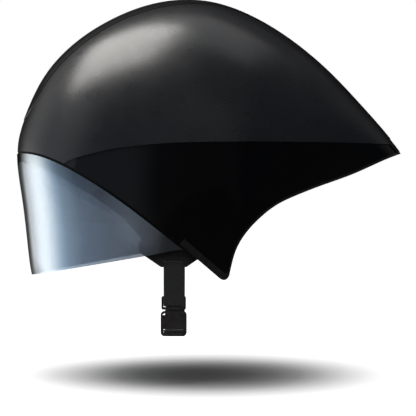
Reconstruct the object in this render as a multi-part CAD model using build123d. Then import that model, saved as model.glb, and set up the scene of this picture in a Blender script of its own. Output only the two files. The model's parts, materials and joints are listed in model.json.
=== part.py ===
from build123d import *
import math
import os
from functools import cache

# Aero time trial helmet in millimetres. The nose points to -X, the tail to +X, up is +Z and the
# wearer's left is -Y. The origin is the centre of the head opening at the height of the brow.

# The head space and the walls round it
HEAD_LENGTH = 206.0
HEAD_WIDTH = 162.0
HEAD_HEIGHT = 100.0
BROW_WALL = 20.6
SIDE_WALL = 23.0
CROWN_WALL = 34.0
TAIL_LENGTH = 111.7
CHEEK_DROP = 110.2

# Wall stack, measured inward from the outer surface
SHELL_WALL = 2.4
LOWER_SHELL_STEP = 0.8
LOWER_SHELL_WALL = 2.0
LENS_PROUD = 0.6
LENS_WALL = 2.2
PANEL_PROUD = 0.5
PANEL_WALL = 1.7
PANEL_BOND = 0.1
SEAT_GAP = 0.3
LEDGE_WALL = 2.6
FLANGE_WALL = 2.0
TRIM_WALL = 2.8

# Edges of the shells, seen from the side
TRIM_WIDTH = 2.2
CHEEK_BAND_WIDTH = 6.0
SEAL_WIDTH = 1.9
LEDGE_DROP = 12.0
FLANGE_RISE = 10.0

# Visor magnets
MAGNET_RADIUS = 3.2
MAGNET_DEPTH = 1.8
CUP_WALL = 0.6
CUP_DEPTH = 2.6
MAGNET_GAP = 0.4

# Foam and pads
TAIL_SPLIT = 19.0
TAIL_FOAM_WALL = 13.0
CHANNEL_WIDTH = 12.0
CHANNEL_DEPTH = 7.0
CHANNEL_OFFSET = 24.0
PAD_THICKNESS = 7.0
CHEEK_PAD_THICKNESS = 11.0

# Webbing, splitters and the chin loop
WEBBING_WIDTH = 16.5
WEBBING_THICKNESS = 1.4
STRAP_PLANE = 79.0
PLATE_THICKNESS = 3.0
SLOT_HEIGHT = 3.0
SLOT_SPARE = 1.0
SPLITTER_CENTRE_X = 15.4
SPLITTER_TOP = 74.5
SPLITTER_HEIGHT = 25.0
SPLITTER_HALF_WIDTH = 30.5
SEWN_LENGTH = 13.0
ANCHOR_LENGTH = 20.0
ANCHOR_WIDTH = 8.0
ANCHOR_HEIGHT = 12.0
ANCHOR_SHOWING = 2.0
CHIN_LOOP_DEPTH = 62.0

# Side-release buckle
BUCKLE_WIDTH = 22.4
BUCKLE_THICKNESS = 7.0
FEMALE_HEIGHT = 21.7
MALE_HEIGHT = 11.7
MALE_WIDTH = 21.1
BUCKLE_PARTING = 1.1
BUCKLE_WALL = 1.6
BUCKLE_SIDE_WALL = 2.6
BUCKLE_BAR = 3.1
MALE_BAR = 2.2
BUCKLE_CORNER = 3.5
BUCKLE_EDGE = 0.7
BUCKLE_DROP = 24.9
PRONG_WIDTH = 2.2
PRONG_TIP_ROOM = 1.5
PRONG_LENGTH = 12.5
PRONG_HINGE_GAP = 0.3
BARB_REACH = 2.3
BARB_HEIGHT = 6.0
BARB_ROOM = 1.2
EYE_RADIUS = 2.5
EYE_SPREAD = 7.35
EYE_DROP = 4.5

# Retention cradle, dial and racks
FIT_LEVEL = 32.0
CRADLE_GAP = 4.0
CRADLE_WALL = 2.4
CRADLE_HEIGHT = 26.0
CRADLE_HALF_SPAN = 52.0
YOKE_WIDTH = 18.0
YOKE_RISE = 40.0
YOKE_HOOK = 8.0
YOKE_HOOK_HEIGHT = 6.0
HOUSING_HALF_LENGTH = 19.0
HOUSING_HEIGHT = 26.0
COVER_WALL = 1.4
SCREW_RADIUS = 1.1
SCREW_HEAD_RADIUS = 2.0
SCREW_HEAD_HEIGHT = 0.8
SCREW_LENGTH = 5.0
DIAL_SCREW_RADIUS = 0.8
GEAR_MODULE = 1.0
PINION_TEETH = 10
TOOTH_ADDENDUM = 0.75
TOOTH_DEDENDUM = 1.05
TOOTH_BACKLASH = 0.3
PRESSURE_ANGLE = 20.0
RACK_THICKNESS = 2.4
RACK_BACK = 2.5
RACK_INNER_REACH = 14.0
RACK_OUTER_REACH = 38.0
PADDLE_LENGTH = 7.0
RUNNING_GAP = 0.3
SHAFT_RADIUS = 2.0
SHAFT_CLEARANCE = 0.05
DIAL_RADIUS = 11.0
DIAL_DEPTH = 6.0
DIAL_RIBS = 18
DIAL_RIB_RADIUS = 0.9
DIAL_GAP = 0.4
BAND_HEIGHT = 10.0
BAND_WALL = 1.4
STUD_RADIUS = 3.0
STUD_DEPTH = 4.0
STUD_GAP = 0.55
BAND_ROOT_GAP = 0.7

# Points along each side of a curved strip
STRIP_STEPS = 32

# How far cutting tools run past what they cut
OVERRUN = 6.0

FRONT_REACH = HEAD_LENGTH / 2 + BROW_WALL
TAIL_REACH = HEAD_LENGTH / 2 + TAIL_LENGTH
CROWN_RISE = HEAD_HEIGHT + CROWN_WALL
HALF_WIDTH = HEAD_WIDTH / 2 + SIDE_WALL

# Insets that follow from the wall stack
LOWER_INSET = LOWER_SHELL_STEP + LOWER_SHELL_WALL
FOAM_INSET = LOWER_INSET + SEAT_GAP
LENS_INSET = LENS_WALL - LENS_PROUD
CUP_INSET = LENS_INSET + CUP_DEPTH
LEDGE_INSET = CUP_INSET + MAGNET_GAP
LENS_EDGE_GAP = SEAL_WIDTH + SEAT_GAP

# Shape of the outer surface. Each station lies in a plane that fans about one sideways line under
# the head: the crest point as shares of the reaches, the half width as a share of the helmet's,
# where the straight side ends as a share of the crest's radius, and how full the arch is.
FAN_CENTRE_SHARES = (0.419, -1.524)
FAN_FOOT_SHARE = 0.41
SIDE_TAPER_SHARE = 0.06
STATION_SHARES = [
    (-0.860, -1.207, 0.933, 0.376, 2.15),
    (-0.891, -0.960, 0.938, 0.365, 2.15),
    (-0.914, -0.780, 0.942, 0.357, 2.15),
    (-0.958, -0.363, 0.957, 0.343, 2.15),
    (-0.992, -0.073, 0.966, 0.346, 2.15),
    (-0.989, 0.060, 0.971, 0.355, 2.15),
    (-0.926, 0.261, 0.976, 0.382, 2.15),
    (-0.797, 0.500, 0.981, 0.425, 2.12),
    (-0.615, 0.690, 0.987, 0.463, 2.10),
    (-0.320, 0.871, 0.995, 0.495, 2.10),
    (0.012, 0.982, 1.000, 0.513, 2.10),
    (0.209, 0.989, 0.990, 0.536, 2.10),
    (0.406, 0.879, 0.918, 0.574, 2.12),
    (0.573, 0.709, 0.817, 0.626, 2.20),
    (0.701, 0.534, 0.726, 0.680, 2.35),
    (0.824, 0.328, 0.596, 0.755, 2.50),
    (0.913, 0.168, 0.481, 0.812, 2.70),
    (0.999, -0.006, 0.361, 0.858, 2.90),
    (1.062, -0.163, 0.279, 0.873, 3.00),
]
ARCH_ANGLES = (0, 15, 30, 45, 60, 75, 90)
SIDE_STEP_SHARES = (0.0, 0.5)
END_SPREAD_SHARE = 0.9
FOOT_SPREAD_SHARE = 0.5

# Outlines in the side view, as shares of the reaches
SEAM_SHARES = [
    (-1.0, 0.0),
    (-0.872, -0.004),
    (-0.740, -0.046),
    (-0.551, -0.148),
    (-0.362, -0.276),
    (-0.173, -0.423),
    (0.009, -0.586),
    (0.096, -0.7205),
]
SEAM_SLOPE_SHARES = (0.6, 0.8)
CHEEK_FOOT_SHARES = (0.257, -0.989)
CHEEK_TIP_SHARES = [(0.257, -0.989), (0.276, -0.999), (0.294, -0.964)]
REAR_EDGE_SHARES = [
    (0.294, -0.964),
    (0.305, -0.868),
    (0.324, -0.752),
    (0.362, -0.631),
    (0.422, -0.508),
    (0.488, -0.413),
    (0.564, -0.343),
    (0.661, -0.270),
    (0.803, -0.170),
    (0.922, -0.067),
    (1.0, -0.011),
]
REAR_SLOPE_SHARES = (0.42, 0.91)
TAIL_EXIT_SHARES = (1.118, 0.062)
GLOSS_LINE_SHARES = [
    (-0.672, -0.127),
    (-0.615, -0.078),
    (-0.494, -0.031),
    (-0.306, 0.014),
    (-0.173, 0.030),
    (-0.032, 0.044),
    (0.118, 0.056),
    (0.281, 0.061),
    (0.661, 0.060),
    (0.824, 0.056),
    (0.950, 0.049),
]
GLOSS_TAIL_SHARES = (1.011, -0.069)
LENS_FOOT_SHARES = [(0.110, -0.762), (0.063, -0.773), (-0.041, -0.8085), (-0.887, -0.975)]
LENS_FRONT_SHARES = (-1.21, -1.039)
LEDGE_TURN_SHARES = [(-0.088, -0.69), (0.09, -0.78)]
FOAM_EAR_SHARES = [(-0.115, -0.345), (0.010, -0.345), (0.035, -0.163)]
FOAM_REAR_SHARES = [(0.575, -0.163), (0.575, -0.305), (0.661, -0.235), (0.803, -0.135), (0.922, -0.030)]
FOAM_EXIT_SHARES = (1.118, 0.095)
PANEL_HALF_WIDTH_SHARES = [
    (-0.940, 0.0),
    (-0.926, 0.160),
    (-0.862, 0.250),
    (-0.732, 0.288),
    (-0.324, 0.292),
    (0.100, 0.286),
    (0.279, 0.232),
    (0.512, 0.180),
    (0.745, 0.146),
    (0.955, 0.115),
]
PANEL_FLOOR_SHARE = 0.02
SPLITTER_OUTLINE_SHARES = [
    (-1.0, 0.16),
    (-0.72, 0.0),
    (-0.25, 0.16),
    (0.25, 0.16),
    (0.72, 0.0),
    (1.0, 0.16),
    (0.96, 0.50),
    (0.36, 1.0),
    (-0.36, 1.0),
    (-0.96, 0.50),
]
SPLITTER_CORNER_SHARE = 0.09
SPLITTER_SLOT_SHARES = (0.57, 0.36)
SPLITTER_LOW_SLOT_SHARE = 0.82
SPLITTER_SLOT_TILT = 12.0
FRONT_ANCHOR_SHARES = (-0.030, 0.830)
REAR_ANCHOR_SHARES = (0.325, 0.680)
PAD_SPAN_SHARE = 0.62
BROW_PAD_SHARES = (0.62, 0.22, 0.13)
CROWN_PAD_SHARES = (0.17, 0.055, 0.27)
SIDE_PAD_SHARES = (0.15, 0.13, 0.10)
REAR_PAD_SHARES = (0.10, 0.12, 0.12, 0.20)
CRADLE_PAD_SHARES = (0.08, 0.34, 0.16)
CHANNEL_FLOOR_SHARE = 0.35
TAIL_HOLLOW_SHARE = 0.90
BROW_MAGNET_SHARES = (-0.14, 0.14)
SIDE_MAGNET_STATION = 4
CHEEK_PAD_SHARES = [
    (0.130, -0.56),
    (0.175, -0.47),
    (0.262, -0.52),
    (0.262, -0.78),
    (0.235, -0.83),
    (0.165, -0.74),
]
CHIN_LOOP_SHARES = [(0.93, 0.60), (0.60, 0.90), (0.05, 1.01), (-0.50, 1.01)]
BAND_SHARES = [(0.955, 0.57), (0.84, 0.68), (0.55, 0.82), (0.20, 0.925), (-0.20, 0.950)]


def reach(x_share, z_share):
    """A side-view point from shares of the reach to the nose, tail, crown or cheek tip."""
    along = FRONT_REACH if x_share < 0 else TAIL_REACH
    height = CHEEK_DROP if z_share < 0 else CROWN_RISE
    return (x_share * along, z_share * height)


def moved(points, along, up):
    """The same points moved by one side-view step."""
    return [(x + along, z + up) for x, z in points]


def block(x_low, x_high, y_low, y_high, z_low, z_high):
    """A box between two corners."""
    size = (x_high - x_low, y_high - y_low, z_high - z_low)
    centre = ((x_low + x_high) / 2, (y_low + y_high) / 2, (z_low + z_high) / 2)
    return Pos(*centre) * Box(*size)


def rod(start, axis, radius, length):
    """A cylinder that starts at a point and runs along an axis."""
    plane = Plane(origin=start, z_dir=axis)
    return plane * Cylinder(radius, length, align=(Align.CENTER, Align.CENTER, Align.MIN))


def side_face(*runs):
    """A flat face in the side view. Runs of three points or more are smooth, the rest are straight."""
    edges = []
    last = None
    for run in runs:
        points = [(x, 0, z) for x, z in run]
        if last is not None and last != points[0]:
            edges.append(Line(last, points[0]))
        if len(points) > 2:
            edges.append(Spline(*points))
        elif len(points) == 2:
            edges.append(Line(*points))
        last = points[-1]
    first = (runs[0][0][0], 0, runs[0][0][1])
    edges.append(Line(last, first))
    return Face(Wire(edges))


def past_nose(level):
    """A corner well in front of the nose at one height."""
    return [(-FRONT_REACH - HALF_WIDTH, level)]


def across(face):
    """The face drawn out to both sides, past the helmet's width."""
    return extrude(face, amount=HALF_WIDTH + OVERRUN, dir=(0, 1, 0), both=True)


def left_of(face):
    """The face drawn out to the left side alone."""
    return extrude(face, amount=HALF_WIDTH + OVERRUN, dir=(0, -1, 0))


def right_from(left):
    """The right-hand copy of a left-hand piece."""
    return mirror(left, about=Plane.XZ)


# Outer surface

def station(shares, inset, spread):
    """One arch of the outer surface, inset from it, closed by a straight foot."""
    x_share, z_share, width_share, shoulder_share, fullness = shares
    crest_x, crest_z = reach(x_share, z_share)
    fan_x, fan_z = reach(*FAN_CENTRE_SHARES)
    run = crest_x - fan_x
    rise = crest_z - fan_z
    radius = math.hypot(run, rise)
    turn = math.atan2(run, rise) + spread / radius
    width = width_share * HALF_WIDTH - inset
    foot = FAN_FOOT_SHARE * CHEEK_DROP - FOOT_SPREAD_SHARE * inset
    shoulder = shoulder_share * radius
    crest = radius - inset
    half = []
    for step in SIDE_STEP_SHARES:
        level = foot + (shoulder - foot) * step
        taper = SIDE_TAPER_SHARE * (1 - step) ** 2
        half.append((width * (1 - taper), level))
    for angle in ARCH_ANGLES:
        side = max(0.0, math.cos(math.radians(angle))) ** (2 / fullness)
        top = math.sin(math.radians(angle)) ** (2 / fullness)
        half.append((width * side, shoulder + (crest - shoulder) * top))
    other = [(-y, r) for y, r in reversed(half[:-1])]
    points = []
    for y, r in half + other:
        points.append((fan_x + r * math.sin(turn), y, fan_z + r * math.cos(turn)))
    return Face(Wire([Spline(*points), Line(points[-1], points[0])]))


@cache
def envelope(inset):
    """The solid inside the outer surface, moved inward by the inset."""
    faces = []
    last = len(STATION_SHARES) - 1
    for index, shares in enumerate(STATION_SHARES):
        spread = 0.0
        if index == 0:
            spread = -END_SPREAD_SHARE * inset
        if index == last:
            spread = END_SPREAD_SHARE * inset
        faces.append(station(shares, inset, spread))
    return loft(faces)


@cache
def wall(outer, inner):
    """The whole wall between two insets."""
    return envelope(outer) - envelope(inner)


def skin(outer, inner, region):
    """A layer of the wall on both sides of the helmet, kept inside a region."""
    return wall(outer, inner) & region


def left_skin(outer, inner, region):
    """A layer of the wall on one side of the helmet, kept inside a region."""
    return (envelope(outer) & region) - envelope(inner)


# Regions of the side view

def seam_points(drop):
    """The shell's front-lower edge, moved down square to its slope."""
    points = [reach(*share) for share in SEAM_SHARES]
    return moved(points, -drop * SEAM_SLOPE_SHARES[0], -drop * SEAM_SLOPE_SHARES[1])


def outside_top():
    """Corners that close a region far above the helmet, from the tail round to the nose."""
    right = TAIL_REACH + FRONT_REACH
    top = CROWN_RISE + CHEEK_DROP
    return [(right, top)], [(-right, top)]


def shell_face(rear_back, cheek_back):
    """The side view of both shells, drawn back from the rear edge and from the cheek edge."""
    seam = seam_points(0)
    foot = reach(*CHEEK_FOOT_SHARES)
    run = foot[0] - seam[-1][0]
    fall = foot[1] - seam[-1][1]
    slant = math.hypot(run, fall)
    along = -cheek_back * fall / slant
    up = cheek_back * run / slant
    cheek = moved([seam[-1], foot], along, up)
    drawn_back = (-rear_back * REAR_SLOPE_SHARES[0], rear_back * REAR_SLOPE_SHARES[1])
    rear = moved([reach(*share) for share in REAR_EDGE_SHARES], *drawn_back)
    exit_point = moved([reach(*TAIL_EXIT_SHARES)], *drawn_back)
    back, front = outside_top()
    far_nose = past_nose(seam[0][1])
    if cheek_back:
        start = [seam[-1], cheek[0]]
        return side_face(far_nose, seam, start, cheek, rear, exit_point, back, front)
    tip = [reach(*share) for share in CHEEK_TIP_SHARES]
    return side_face(far_nose, seam, cheek, tip, rear, exit_point, back, front)


def upper_face():
    """The side view above the line where matte gives way to gloss."""
    line = [reach(*share) for share in GLOSS_LINE_SHARES]
    nose = past_nose(line[0][1])
    tail = reach(*GLOSS_TAIL_SHARES)
    past = (TAIL_REACH + FRONT_REACH, tail[1])
    back, front = outside_top()
    return side_face(nose, line, [tail, past], back, front)


def lens_face():
    """The side view of the visor lens."""
    top = seam_points(LENS_EDGE_GAP)
    foot = [reach(*share) for share in LENS_FOOT_SHARES]
    front = [reach(*LENS_FRONT_SHARES)]
    front.append(past_nose(front[0][1])[0])
    nose = past_nose(top[0][1])
    return side_face(nose, top, foot[:2], foot[2:], front)


def seam_band(high, low):
    """A strip that follows the seam between two drops below it."""
    upper = seam_points(high)
    lower = seam_points(low)
    nose_high = past_nose(upper[0][1])
    nose_low = past_nose(lower[0][1])
    return side_face(nose_high, upper, list(reversed(lower)), nose_low)


def ledge_face():
    """The seat ledge behind the top of the lens, with its lobe down towards the cheek."""
    upper = seam_points(-SEAL_WIDTH)
    lower = seam_points(LEDGE_DROP)[:-2]
    turn = [reach(*share) for share in LEDGE_TURN_SHARES]
    nose_high = past_nose(upper[0][1])
    nose_low = past_nose(lower[0][1])
    return side_face(nose_high, upper, list(reversed(turn)), list(reversed(lower)), nose_low)


def foam_face():
    """The side view of the foam: clear of the visor seat in front, level over the ears."""
    front = seam_points(-FLANGE_RISE - SEAT_GAP)[:5]
    ear = [reach(*share) for share in FOAM_EAR_SHARES]
    rear = [reach(*share) for share in FOAM_REAR_SHARES]
    nose = past_nose(front[0][1])
    exit_point = [reach(*FOAM_EXIT_SHARES)]
    back, top_front = outside_top()
    return side_face(nose, front, ear[:2], ear[2:], rear[:2], rear[2:], exit_point, back, top_front)


def common(face, other):
    """What two side views share, as one face."""
    return max((face & other).faces(), key=lambda item: item.area)


def rest_of(face, other):
    """What is left of a side view without another, as one face."""
    return max((face - other).faces(), key=lambda item: item.area)


# Shells

def crown_ribbon():
    """The upright prism that bounds the crown panel in the top view."""
    left = []
    for x_share, y_share in PANEL_HALF_WIDTH_SHARES:
        x = reach(x_share, 0)[0]
        left.append((x, -y_share * HALF_WIDTH, CROWN_RISE * PANEL_FLOOR_SHARE))
    right = [(x, -y, z) for x, y, z in left]
    ring = Wire([Spline(*left), Line(left[-1], right[-1]), Spline(*right)])
    return extrude(Face(ring), amount=CROWN_RISE + OVERRUN, dir=(0, 0, 1))


def upper_shell():
    """Matte upper shell, with a shallow recess for the crown panel."""
    face = common(shell_face(TRIM_WIDTH, CHEEK_BAND_WIDTH), upper_face())
    shell = skin(0.0, SHELL_WALL, across(face))
    recess = crown_ribbon() - envelope(PANEL_WALL - PANEL_PROUD + PANEL_BOND)
    return shell - recess


def crown_panel():
    """Gloss band along the crown, bonded into the recess of the upper shell."""
    band = envelope(-PANEL_PROUD) & crown_ribbon()
    return band - envelope(PANEL_WALL - PANEL_PROUD)


def lower_shell_left():
    """Gloss lower shell with the cheek flap."""
    face = rest_of(shell_face(TRIM_WIDTH, CHEEK_BAND_WIDTH), upper_face())
    return left_skin(LOWER_SHELL_STEP, LOWER_INSET, left_of(face))


def edge_trim_left():
    """Thin trim along the rear cut edge."""
    face = rest_of(shell_face(0, CHEEK_BAND_WIDTH), shell_face(TRIM_WIDTH, CHEEK_BAND_WIDTH))
    inset = LOWER_SHELL_STEP / 2
    return left_skin(inset, inset + TRIM_WALL, left_of(face))


def cheek_edge_left():
    """Rolled band along the front of the cheek flap."""
    face = rest_of(shell_face(0, 0), shell_face(0, CHEEK_BAND_WIDTH))
    inset = LOWER_SHELL_STEP / 2
    return left_skin(inset, inset + TRIM_WALL, left_of(face))


# Visor and its seat

def visor_lens():
    """Smoke lens that wraps from cheek to cheek, just proud of the shells."""
    return skin(-LENS_PROUD, LENS_INSET, across(lens_face()))


def visor_seal():
    """Rubber lip between the edge of the shells and the lens."""
    inset = LOWER_SHELL_STEP / 2
    return skin(inset, inset + SHELL_WALL, across(seam_band(0, SEAL_WIDTH)))


def magnet_axes():
    """Places of the magnets: the two at the brow point forward, the two at the sides outward."""
    places = []
    drop = (LENS_EDGE_GAP + LEDGE_DROP) / 2
    for share in BROW_MAGNET_SHARES:
        level = seam_points(drop)[0][1]
        places.append(((0, share * HALF_WIDTH, level), (-1, 0, 0)))
    x, z = seam_points(drop)[SIDE_MAGNET_STATION]
    for side in (-1, 1):
        places.append(((x, 0, z), (0, side, 0)))
    return places


def plugs(radius):
    """Long cylinders through the wall at each magnet."""
    tools = []
    for start, axis in magnet_axes():
        tools.append(rod(start, axis, radius, FRONT_REACH + OVERRUN))
    return tools


def pucks(outer, inner, radius):
    """Short discs that follow the wall, one at each magnet."""
    discs = []
    for tool in plugs(radius):
        discs.append((envelope(outer) & tool) - envelope(inner))
    return discs


def joined(pieces):
    """Separate solids kept together in one node."""
    solids = []
    for piece in pieces:
        solids.extend(piece.solids())
    return Compound(children=solids)


def visor_magnets():
    """Disc magnets on the lens side."""
    return joined(pucks(CUP_INSET - MAGNET_DEPTH, CUP_INSET, MAGNET_RADIUS))


def visor_magnet_cups():
    """Cups bonded inside the lens that hold its magnets."""
    cups = pucks(LENS_INSET, CUP_INSET, MAGNET_RADIUS + CUP_WALL)
    holes = pucks(CUP_INSET - MAGNET_DEPTH, CUP_INSET + OVERRUN, MAGNET_RADIUS)
    return joined([cup - hole for cup, hole in zip(cups, holes)])


def seat_magnets():
    """Disc magnets let into the seat ledge."""
    return joined(pucks(LEDGE_INSET, LEDGE_INSET + MAGNET_DEPTH, MAGNET_RADIUS))


def visor_seat():
    """Ledge behind the top of the lens, with a flange up behind the shells."""
    ledge = skin(LEDGE_INSET, LEDGE_INSET + LEDGE_WALL, across(ledge_face()))
    flange_inner = FOAM_INSET + FLANGE_WALL
    flange = skin(FOAM_INSET, flange_inner, across(seam_band(-FLANGE_RISE, -SEAT_GAP)))
    seat = ledge + flange
    for hole in pucks(LEDGE_INSET - OVERRUN, LEDGE_INSET + MAGNET_DEPTH, MAGNET_RADIUS):
        seat = seat - hole
    return seat


# Foam

@cache
def head_form(extra):
    """The head space: half an ellipsoid over an upright tube, its wall moved outward by extra."""
    depth_share = 2.0
    arc = CenterArc((0, 0, 0), 1, 0, 90)
    outline = Wire([Line((0, -depth_share), (1, -depth_share)), Line((1, -depth_share), (1, 0)), arc,
                    Line((0, 1), (0, -depth_share))])
    unit = revolve(Plane.XZ * Face(outline), axis=Axis.Z)
    return scale(unit, by=(HEAD_LENGTH / 2 + extra, HEAD_WIDTH / 2 + extra, HEAD_HEIGHT + extra))


def anchor_places():
    """Middle of the foot of each strap anchor on the left: front, then rear."""
    places = []
    for share, y_share in (FRONT_ANCHOR_SHARES, REAR_ANCHOR_SHARES):
        x = reach(share, 0)[0]
        foot = foam_floor(x)
        places.append((x, -y_share * HALF_WIDTH, foot))
    return places


def foam_floor(x):
    """Height of the foam's lower edge over the ears, ahead of and behind the temple lobe."""
    if x < 0:
        return reach(*FOAM_EAR_SHARES[0])[1]
    return reach(*FOAM_EAR_SHARES[-1])[1]


def anchor_block(place, extra):
    """Room of one strap anchor: most of it in the foam, its foot showing below."""
    x, y, z = place
    half = ANCHOR_LENGTH / 2 + extra
    deep = ANCHOR_WIDTH / 2 + extra
    top = z + ANCHOR_HEIGHT - ANCHOR_SHOWING + extra
    return block(x - half, x + half, y - deep, y + deep, z - ANCHOR_SHOWING, top)


def strap_anchors():
    """Four moulded anchors for the upper ends of the strap legs."""
    blocks = [anchor_block(place, 0) for place in anchor_places()]
    return joined(blocks + [right_from(piece) for piece in blocks])


def temple_anchor_place():
    """Middle of the front end of the left fit band."""
    x_share, y_share = BAND_SHARES[-1]
    x = x_share * HEAD_LENGTH / 2 + BAND_HEIGHT / 2
    return (x, -y_share * HEAD_WIDTH / 2, -FIT_LEVEL)


def temple_stud_start():
    """Where the left temple stud begins, just outside the band."""
    x, y, z = temple_anchor_place()
    return (x, y - BAND_WALL / 2 - STUD_GAP, z)


def temple_anchors():
    """Studs that hold the front ends of the fit bands to the foam."""
    stud = rod(temple_stud_start(), (0, -1, 0), STUD_RADIUS, STUD_DEPTH)
    return joined([stud, right_from(stud)])


def foam_liner():
    """Foam round the head, with air channels, anchor pockets and the hook slot of the yoke."""
    split = HEAD_LENGTH / 2 + TAIL_SPLIT
    outside = envelope(FOAM_INSET) & across(foam_face())
    ahead = block(-FRONT_REACH - OVERRUN, split, -HALF_WIDTH, HALF_WIDTH, -CHEEK_DROP, CROWN_RISE)
    liner = (outside & ahead) - head_form(0)
    half = CHANNEL_WIDTH / 2
    floor = HEAD_HEIGHT * CHANNEL_FLOOR_SHARE
    end = HEAD_LENGTH / 2
    for middle in (-CHANNEL_OFFSET, CHANNEL_OFFSET):
        slab = block(-end, end, middle - half, middle + half, floor, CROWN_RISE)
        liner = liner - (head_form(CHANNEL_DEPTH) & slab)
    for place in anchor_places():
        pocket = anchor_block(place, 0)
        liner = liner - pocket - right_from(pocket)
    x, y, z = temple_stud_start()
    hole = rod((x, 0, z), (0, -1, 0), STUD_RADIUS, STUD_DEPTH - y)
    liner = liner - hole - right_from(hole)
    return liner - yoke_slot()


def tail_foam():
    """Foam that fills the front of the tail and lines the rest of it."""
    split = HEAD_LENGTH / 2 + TAIL_SPLIT
    outside = envelope(FOAM_INSET) & across(foam_face())
    behind = block(split, TAIL_REACH + OVERRUN, -HALF_WIDTH, HALF_WIDTH, -CHEEK_DROP, CROWN_RISE)
    front = split + TAIL_FOAM_WALL
    hollow = block(front, TAIL_REACH * TAIL_HOLLOW_SHARE, -HALF_WIDTH, HALF_WIDTH, -CHEEK_DROP, CROWN_RISE)
    hollow = hollow & envelope(FOAM_INSET + TAIL_FOAM_WALL)
    return (outside & behind) - hollow


# Pads

def pillow(centre, halves):
    """A crowned pad: an ellipsoid that the head side of the foam cuts off."""
    ball = Pos(*centre) * scale(Sphere(1), by=halves)
    return ball & head_form(-SEAT_GAP)


def brow_pad():
    """Pad along the front of the foam."""
    length, middle, height = BROW_PAD_SHARES
    halves = (HEAD_LENGTH / 2 * length, HEAD_WIDTH / 2 * length, HEAD_HEIGHT * height)
    centre = (-HEAD_LENGTH / 2 * (1 - length), 0, HEAD_HEIGHT * middle)
    return pillow(centre, halves) - head_form(-PAD_THICKNESS)


def crown_pads():
    """Three strips under the crown, clear of the air channels."""
    pads = []
    for side in (-1, 0, 1):
        y = side * HEAD_WIDTH * CROWN_PAD_SHARES[2]
        lift = math.sqrt(1 - (y / (HEAD_WIDTH / 2)) ** 2)
        halves = (HEAD_LENGTH * CROWN_PAD_SHARES[0], HEAD_WIDTH * CROWN_PAD_SHARES[1], PAD_THICKNESS)
        pads.append(pillow((0, y, HEAD_HEIGHT * lift), halves))
    return joined(pads)


def side_pad_left():
    """Pad beside the temple."""
    z = HEAD_HEIGHT * SIDE_PAD_SHARES[2]
    halves = (HEAD_LENGTH * SIDE_PAD_SHARES[0], PAD_THICKNESS, HEAD_HEIGHT * SIDE_PAD_SHARES[1])
    return pillow((0, -HEAD_WIDTH / 2, z), halves)


def rear_pads():
    """Two pads behind the head, one each side of the yoke."""
    pads = []
    for side in (-1, 1):
        y = side * HEAD_WIDTH * REAR_PAD_SHARES[3]
        x = HEAD_LENGTH / 2 * math.sqrt(1 - (y / (HEAD_WIDTH / 2)) ** 2)
        z = HEAD_HEIGHT * REAR_PAD_SHARES[2]
        halves = (PAD_THICKNESS, HEAD_WIDTH * REAR_PAD_SHARES[0], HEAD_HEIGHT * REAR_PAD_SHARES[1])
        pads.append(pillow((x, y, z), halves))
    return joined(pads)


def cheek_pad_left():
    """Cushion on the inner side of the cheek flap, crowned towards the face."""
    points = [reach(*share) for share in CHEEK_PAD_SHARES]
    face = side_face(points[:4], points[4:])
    box = face.bounding_box()
    halves = (box.size.X * PAD_SPAN_SHARE, CHEEK_PAD_THICKNESS, box.size.Z * PAD_SPAN_SHARE)
    centre = box.center()
    half = section_half_width(centre.X, centre.Z) - FOAM_INSET
    pad = Pos(centre.X, -half, centre.Z) * scale(Sphere(1), by=halves)
    return pad & envelope(FOAM_INSET) & left_of(face)


def section_half_width(x, z):
    """Half the width of the outer surface at one side-view point."""
    line = Edge.make_line((x, -HALF_WIDTH - OVERRUN, z), (x, 0, z))
    hit = envelope(0.0) & line
    return max(abs(vertex.Y) for vertex in hit.vertices())


# Webbing and splitters

def strip_face(curve, width):
    """A flat strip of one width along a curve in the XY plane."""
    sides = [[], []]
    for step in range(STRIP_STEPS + 1):
        share = step / STRIP_STEPS
        point = curve.position_at(share)
        ahead = curve.tangent_at(share)
        for side, sign in zip(sides, (-1, 1)):
            side.append((point.X - sign * ahead.Y * width / 2, point.Y + sign * ahead.X * width / 2))
    low, high = sides
    ends = [Line(low[-1], high[-1]), Line(high[0], low[0])]
    return Face(Wire([Spline(*low), ends[0], Spline(*reversed(high)), ends[1]]))


def splitter_point(x_share, z_share):
    """A side-view point on the left splitter."""
    x = SPLITTER_CENTRE_X + x_share * SPLITTER_HALF_WIDTH
    return (x, -SPLITTER_TOP - z_share * SPLITTER_HEIGHT)


def leg_offset():
    """How far a webbing leg lies from the middle of the plate that it passes."""
    return PLATE_THICKNESS / 2 + SEAT_GAP + WEBBING_THICKNESS / 2


def slot_places():
    """Middle and tilt of the three slots in the left splitter: front, rear, low."""
    x_share, z_share = SPLITTER_SLOT_SHARES
    front = splitter_point(-x_share, z_share)
    rear = splitter_point(x_share, z_share)
    low = splitter_point(0, SPLITTER_LOW_SLOT_SHARE)
    return [(front, -SPLITTER_SLOT_TILT), (rear, SPLITTER_SLOT_TILT), (low, 0)]


def tilted_plane(middle, tilt):
    """A frame at a slot: its first axis along the slot, its third up the strap."""
    x, z = middle
    turn = math.radians(tilt)
    along = (math.cos(turn), 0, -math.sin(turn))
    up = (math.sin(turn), 0, math.cos(turn))
    return Plane(origin=(x, -STRAP_PLANE, z), x_dir=along, z_dir=up)


def splitter_left():
    """Flat plate with three slots that gathers both strap legs and the chin strap."""
    points = [splitter_point(*share) for share in SPLITTER_OUTLINE_SHARES]
    outline = Polygon(*points, align=None)
    outline = fillet(outline.vertices(), SPLITTER_CORNER_SHARE * SPLITTER_HEIGHT)
    plate = extrude(Plane.XZ * outline, amount=PLATE_THICKNESS / 2, both=True)
    plate = Pos(0, -STRAP_PLANE, 0) * plate
    slot = Box(WEBBING_WIDTH + SLOT_SPARE, PLATE_THICKNESS + OVERRUN, SLOT_HEIGHT)
    for middle, tilt in slot_places():
        plate = plate - tilted_plane(middle, tilt) * slot
    return plate


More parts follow.
